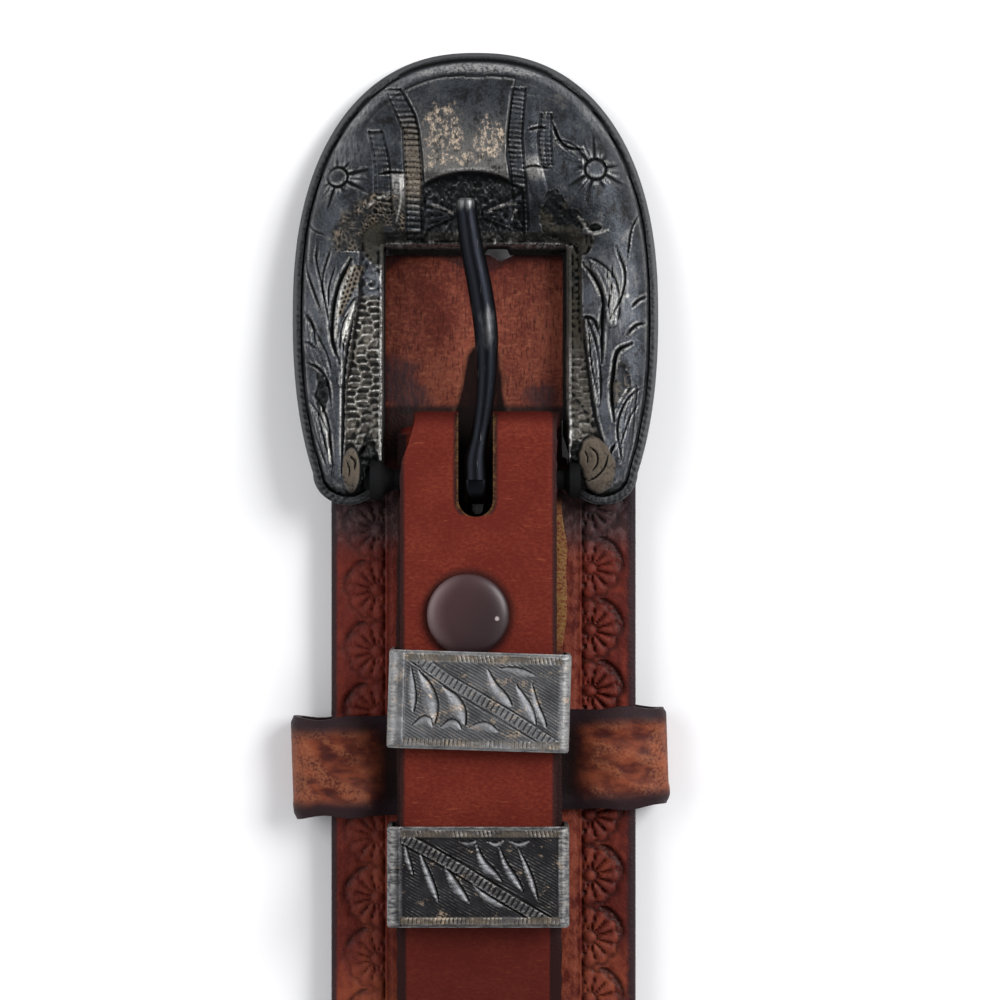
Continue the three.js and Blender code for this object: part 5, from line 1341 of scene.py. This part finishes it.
def bright_cuts(x, y, table):
    """Depth of slanting leaf cuts, steep on their upper side, and 1 on each leaf's smooth slope."""
    depth, slope = np.zeros(x.shape), np.zeros(x.shape)
    for deep, wide, points in table:
        away, along, side = near_line(x, y, smooth_line(points, 0.3))
        size = np.hypot(*np.diff(np.array(points), axis=0).T).sum()
        t = along / size
        half = wide * np.sin(pi * np.clip(0.06 + 0.9 * t, 0, 1)) ** 0.8 * (0.45 + 0.75 * t) + 0.04
        across = side * away / half
        inside = ease(1.08, 0.94, np.abs(across))
        depth = np.minimum(depth, -deep * inside * (np.clip(across + 1, 0, 2) / 2) ** 1.4)
        slope = np.maximum(slope, inside * ease(0.75, 0.2, across))
    return depth, slope


def keeper_relief(x, y, leaves, band, half_length, rope, plain, ground):
    """Depth of the engraving on a keeper's top, 0 or less, then the marks slope, black and border."""
    field = ease(plain, plain + 0.25, KEEPER_HALF + x) * ease(1.2, 1.45, KEEPER_HALF - x) \
        * ease(1.15, 1.4, half_length - np.abs(y))
    hatch = np.abs(np.sin(pi * (y + 0.55 * x + 0.12 * lattice(x, y, 2.0, 31)) / 0.40))
    hatch_depth = ground - 0.06 + 0.13 * hatch * (0.7 + 0.6 * lattice(x, y, 1.6, 34))
    cuts, slope = bright_cuts(x, y, leaves)
    away, along, side = near_line(x, y, smooth_line(band, 0.4))
    in_band = ease(0.72, 0.64, away)
    rungs = 0.17 * ease(0.35, 0.75, np.abs(np.sin(pi * along / 0.66)))
    ladder = -0.20 + np.maximum(rungs, 0.17 * ease(0.50, 0.60, away))
    depth = mix(np.minimum(hatch_depth, 0), cuts + 0.55 * ground * (1 - slope), ease(0.0, 0.06, -cuts))
    depth = mix(depth, ladder, in_band) - 0.14 * ease(0.16, 0.03, np.abs(away - 0.78))
    strokes = ease(0.3, 0.8, np.abs(np.sin(pi * (x + np.where(y > 0, 0.25, rope) * y) / 0.50)))
    border = -0.16 + 0.15 * strokes * (0.55 + 0.8 * lattice(x, y, 1.2, 35))
    in_border = ease(half_length - 1.4, half_length - 1.2, np.abs(y)) * ease(half_length - 0.35, half_length - 0.5, np.abs(y))
    in_border = in_border * ease(plain - 0.1, plain + 0.1, KEEPER_HALF + x) * ease(1.0, 1.2, KEEPER_HALF - x)
    side_line = ease(0.16, 0.04, np.abs(KEEPER_HALF + x - plain)) + ease(0.16, 0.04, np.abs(KEEPER_HALF - x - 1.25))
    depth = mix(mix(-0.04 - 0.10 * side_line, border, in_border), np.minimum(depth, 0), field)
    worn = 0.03 * lattice(x, y, 1.0, 32) + 0.02 * lattice(x, y, 0.35, 33)
    rounded = 0.22 * ease(0.5, 0.0, half_length - np.abs(y))
    black = field * (1 - slope) * (1 - 0.5 * in_band) * (1 - (0.65 + 2 * ground) * hatch)
    return np.minimum(depth + worn, 0) - rounded, slope * field * (1 - in_band), black, in_border * (1 - field)


def keeper(name, node, body, spot, length, degrees, leaves, band, rope, plain, ground):
    half_length = length / 2
    corner = np.linspace(0, pi / 2, 7)
    r = KEEPER_ROUND

    def section(half, low_z, high_z, r, plate):
        """Points round the band's cross-section, counter-clockwise from the lower left corner."""
        arcs = []
        for cx, cz, start in ((half - r, low_z + r, -pi / 2), (half - r, high_z - r, 0),
                              (r - half, high_z - r, pi / 2), (r - half, low_z + r, pi)):
            arcs.append(np.column_stack([cx + r * np.cos(start + corner), cz + r * np.sin(start + corner)]))
        lid = np.column_stack([np.linspace(half - r, r - half, plate)[1:-1], np.full(plate - 2, high_z)])
        return np.concatenate([arcs[0], arcs[1], lid, arcs[2], arcs[3]])

    plate = 170
    outer = section(KEEPER_HALF, KEEPER_LOW, KEEPER_HIGH, r, plate)
    inner = section(KEEPER_HALF - KEEPER_WALL, KEEPER_LOW + KEEPER_WALL, KEEPER_HIGH - KEEPER_FACE,
                    r - KEEPER_WALL, plate)
    ys = np.concatenate([[-half_length, -half_length + 0.05], np.linspace(-half_length + 0.12, half_length - 0.12, 92),
                         [half_length - 0.05, half_length]])
    rows, top_marks = [], []
    on_top = ease(KEEPER_HIGH - 0.5, KEEPER_HIGH - 0.02, outer[:, 1])
    for y in ys:
        row = outer.copy()
        depth, *shades = keeper_relief(row[:, 0], np.full(len(row), y), leaves, band, half_length, rope, plain, ground)
        row[:, 1] += depth * on_top
        row = row - (row - (0, (KEEPER_LOW + KEEPER_HIGH) / 2)) * 0.012 * ease(0.25, 0, half_length - abs(y))
        rows.append(np.column_stack([row[:, 0], np.full(len(row), y), row[:, 1]]))
        top_marks.append([on_top] + [shade * on_top for shade in shades])
    for y in (half_length, -half_length):
        rows.append(np.column_stack([inner[:, 0], np.full(len(inner), y), inner[:, 1]]))
        top_marks.append([0 * on_top] * 4)
    points = np.array(rows)
    turn = radians(degrees)
    x, y = points[..., 0].copy(), points[..., 1].copy()
    points[..., 0] = x * np.cos(turn) - y * np.sin(turn) + spot[0]
    points[..., 1] = x * np.sin(turn) + y * np.cos(turn) + spot[1]
    lid, slope, black, border = np.array(top_marks).transpose(1, 0, 2)
    made = sleeve(name, points, closed=True, lid=lid, slope=slope, black=black, border=border)
    relief_marks(made, 6)
    smooth_by_angle(made, 60)
    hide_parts(node)
    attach(made, body)
    return made


upper_keeper = keeper("upper_band", "keeper_upper", "upper_keeper", (-0.5, -27.1), 12.0, -1.8,
                      UPPER_LEAVES, UPPER_BAND, -0.1, 2.0, -0.05)
lower_keeper = keeper("lower_band", "keeper_lower", "lower_keeper", (-0.62, -48.6), 12.3, 0.0,
                      LOWER_LEAVES, LOWER_BAND, -0.1, 1.7, -0.26)
for band_piece, name, ground_tone, low_tone, high_tone, leaf_tone, sunk_share, warm in (
        (upper_keeper, "worn keeper silver", (0.022, 0.022, 0.024), (0.085, 0.087, 0.092), (0.250, 0.252, 0.258),
         (0.185, 0.188, 0.20), 0.75, 0.60),
        (lower_keeper, "dark keeper silver", (0.006, 0.005, 0.006), (0.018, 0.017, 0.019), (0.105, 0.105, 0.112),
         (0.20, 0.205, 0.22), 0.95, 0.63)):
    plated = Finish(name, metallic=0.85)
    cloudy = plated.cloud(2.8, 4, (1, 1, 1), warm * 3)
    fine = plated.cloud(0.26, 5)
    grit = plated.cloud(0.12, 3)
    scuff = plated.cloud(0.6, 4, (3, 0.5, 1), 1.9)
    patina = plated.cloud(1.9, 6, (1.6, 1, 1), warm * 7, 0.7)
    ridge, lid = plated.mark("ridge"), plated.mark("lid")
    colour = plated.tone(low_tone, high_tone, (cloudy * 0.7 + fine * 0.4 + grit * 0.2).between(0.45, 0.85))
    colour = plated.tone(colour, ground_tone, plated.mark("black") * (0.5 + fine * 0.6))
    colour = plated.tone(colour, leaf_tone, plated.mark("slope") * (cloudy * 0.4 + scuff * 0.8).between(0.42, 0.76))
    colour = plated.tone(colour, (0.155, 0.125, 0.090), plated.mark("border") * (patina + fine * 0.3).between(0.45, 0.75) * 0.8)
    # Raised edges lightened: partly worn bright, partly a painted highlight.
    colour = plated.tone(colour, (0.40, 0.39, 0.37), ridge.between(0.015, 0.07) * scuff.between(0.35, 0.65) * 0.6)
    colour = plated.tone(colour, (0.42, 0.32, 0.23), (patina * 0.8 + fine * 0.3).between(warm, warm + 0.08) * 0.7)
    colour = plated.tone(colour, (0.008, 0.008, 0.009), ridge.between(-0.012, -0.06) * lid * sunk_share)
    matt = 0.36 + cloudy * 0.16 + plated.mark("black") * 0.2 + fine * 0.1
    plated.dress(band_piece, colour, matt, fine * 0.7 + grit * 0.5 + scuff * 0.4, 0.04)

# The belt's tip
# The other narrow strap, sewn on the far end of the wide one, with five punched holes and a
# rounded tip.
FIRST_HOLE_Y, HOLE_PITCH, HOLES, HOLE_RADIUS, TIP_Y, TIP_START_Y = -813.2, 25.4, 5, 2.1, -989.8, -690.2
TIP_HALF = 9.65


def tip_under(y):
    return (STRAP_THICK + LAYER_GAP) * (1 - ease(STRAP_END_Y - LAYER_GAP, FIRST_HOLE_Y + HOLE_RADIUS + 2, y))


ys = np.concatenate([np.linspace(TIP_START_Y, TIP_START_Y - 3, 12), np.arange(TIP_START_Y - 4, TIP_Y + 16, -1.0),
                     TIP_Y + 15 * (1 - np.sin(np.linspace(0, radians(86), 40)))])
to_tip = np.clip((TIP_Y + 14.5 - ys) / 14.5, 0, 0.9985)
to_start = np.clip((3 - (TIP_START_Y - ys)) / 3, 0, 0.97)
half = TIP_HALF * (1 - to_tip ** 2.0) ** 0.62 - 3 * (1 - np.sqrt(1 - to_start ** 2))
tip = sleeve("tip_strap", strap_rings(
    ys, -half, half, np.linspace(0, 1, 40),
    lambda x, y: tip_under(y) + BILLET_THICK - 0.03 + 0.03 * lattice(x, y, 5.0, 41), tip_under, 0.45))
for i in range(HOLES):
    hole_y = FIRST_HOLE_Y - i * HOLE_PITCH
    carve(tip, prism(stadium(0, HOLE_RADIUS, hole_y - HOLE_RADIUS, hole_y + HOLE_RADIUS, 24), -1, 6))
x, y, z = vertices_of(tip)
width_here = np.interp(-y, -ys, half)
hole_middle = FIRST_HOLE_Y - HOLE_PITCH * np.clip(np.round((FIRST_HOLE_Y - y) / HOLE_PITCH), 0, HOLES - 1)
hole_side = np.hypot(x, y - hole_middle) - HOLE_RADIUS
side = np.minimum(width_here - np.abs(x), y - TIP_Y)
marked(tip, edge=np.maximum(ease(1.2, 0.2, side), 0.9 * ease(0.9, 0.1, hole_side)),
       raw=ease(0.5, 0.1, hole_side) * ease(0.2, 0.8, tip_under(y) + BILLET_THICK - z), fold=0 * x, ring=0 * x)
smooth_by_angle(tip, 50)
finish, colour, gloss, height = plain_leather(
    "tip leather", (0.110, 0.018, 0.011), (0.18, 0.035, 0.021), (0.045, 0.008, 0.006), (0.018, 0.006, 0.006))
finish.dress(tip, colour, gloss, height, 0.06)
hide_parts("tip_billet")
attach(tip, "strap")

# The stitches
# Waxed brown thread that sews each narrow strap to the wide one, in two rows near its edges.
STITCH_PITCH, THREAD_HALF, STITCH_IN = 3.3, 0.36, 2.0
bpy.ops.object.select_all(action="DESELECT")
bpy.ops.mesh.primitive_uv_sphere_add(segments=8, ring_count=6, radius=1, location=(0, 0, 0))
stitch = bpy.context.object
stitch.scale = (THREAD_HALF * MM, STITCH_PITCH * 0.46 * MM, THREAD_HALF * 0.8 * MM)
bpy.ops.object.transform_apply(scale=True)
bpy.ops.object.shade_smooth()


def sew(name, starts, under, thick):
    """Copies the stitch along each line from (x, y0) down to y1 on a strap, as one piece."""
    made = []
    for x, y0, y1 in starts:
        for i in range(int((y0 - y1) / STITCH_PITCH)):
            copy = stitch.copy()
            copy.data = stitch.data.copy()
            y = y0 - (i + 0.5) * STITCH_PITCH
            slope = atan(float(under(y + 1) - under(y - 1)) / 2)
            copy.location = place((x, y, float(under(y)) + thick + THREAD_HALF * 0.15))
            copy.rotation_euler = (slope, 0, radians(4))
            bpy.context.scene.collection.objects.link(copy)
            made.append(copy)
    bpy.ops.object.select_all(action="DESELECT")
    for copy in made:
        copy.select_set(True)
    bpy.context.view_layer.objects.active = made[0]
    bpy.ops.object.join()
    made[0].name = name
    bpy.ops.object.transform_apply(location=True, rotation=True, scale=True)
    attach(made[0], "strap")
    return made[0]


inset_left, inset_right = UNDER_MIDDLE - UNDER_HALF + STITCH_IN, UNDER_MIDDLE + UNDER_HALF - STITCH_IN
near_rows = sew("billet_stitches", [(x, -70.0, LOWER_END_Y + 2) for x in (inset_left, inset_right)],
                billet_under, BILLET_THICK)
far_rows = sew("tip_stitches", [(x, TIP_START_Y - 2, STRAP_END_Y + 8) for x in (STITCH_IN - TIP_HALF, TIP_HALF - STITCH_IN)],
               tip_under, BILLET_THICK)
bpy.data.objects.remove(stitch)
thread = Finish("waxed thread", coat_weight=0.15)
strands = thread.cloud(0.2, 3, (1, 4, 1))
colour = thread.tone((0.060, 0.024, 0.012), (0.17, 0.075, 0.035), strands.between(0.35, 0.7))
for rows in (near_rows, far_rows):
    thread.dress(rows, colour, 0.55 + strands * 0.2, strands, 0.05)

# Floor, light and camera
# A plain white table under a big soft lamp from the right, seen from straight above.
floor_size = 6.0
bpy.ops.mesh.primitive_plane_add(size=floor_size, location=(0, 0, 0))
table = bpy.context.object
table.name = "table"
white = Finish("white table")
white.dress(table, (0.93, 0.93, 0.94, 1), 0.9)


def lamp(name, spot, target, width, power):
    light = bpy.data.lights.new(name, "AREA")
    light.size, light.energy = width, power
    holder = bpy.data.objects.new(name, light)
    holder.location = spot
    holder.rotation_euler = (Vector(target) - Vector(spot)).to_track_quat("-Z", "Y").to_euler()
    bpy.context.scene.collection.objects.link(holder)


middle = Vector((0, (BAR_Y - 10) * MM, 0))
lamp("soft key", middle + Vector((0.62, 0.30, 0.66)), middle, 0.5, 8.0)
lamp("broad fill", middle + Vector((-0.75, 0.25, 0.75)), middle, 0.8, 5.2)
room = bpy.data.worlds.new("studio")
bpy.context.scene.world = room
room.use_nodes = True
tree = room.node_tree
gaze = tree.nodes.new("ShaderNodeTexCoord")
split = tree.nodes.new("ShaderNodeSeparateXYZ")
tent = tree.nodes.new("ShaderNodeValToRGB")
tree.links.new(gaze.outputs["Generated"], split.inputs[0])
tree.links.new(split.outputs["Z"], tent.inputs["Fac"])
ramp = tent.color_ramp
ramp.elements[0].position, ramp.elements[0].color = 0.0, (0.50, 0.50, 0.52, 1)
ramp.elements[1].position, ramp.elements[1].color = 0.95, (0.10, 0.10, 0.11, 1)
for at, shade in ((0.35, 0.95), (0.72, 0.80), (0.86, 0.22)):
    ramp.elements.new(at).color = (shade, shade, shade * 1.02, 1)
tree.links.new(tent.outputs["Color"], tree.nodes["Background"].inputs["Color"])
tree.nodes["Background"].inputs["Strength"].default_value = 0.8
bpy.context.scene.view_settings.view_transform = "Standard"

PHOTO_MIDDLE = (2.06, -2.5)
CAMERA_HEIGHT, PIXELS_PER_MM = 450.0, 7.914
view = bpy.data.cameras.new("photo view")
view.sensor_width = 36
view.lens = 36 * PIXELS_PER_MM * CAMERA_HEIGHT / 1000
view.clip_end = 20
camera = bpy.data.objects.new("photo view", view)
camera.location = ((PHOTO_MIDDLE[0]) * MM, (BAR_Y + PHOTO_MIDDLE[1]) * MM, CAMERA_HEIGHT * MM)
bpy.context.scene.collection.objects.link(camera)
bpy.context.scene.camera = camera
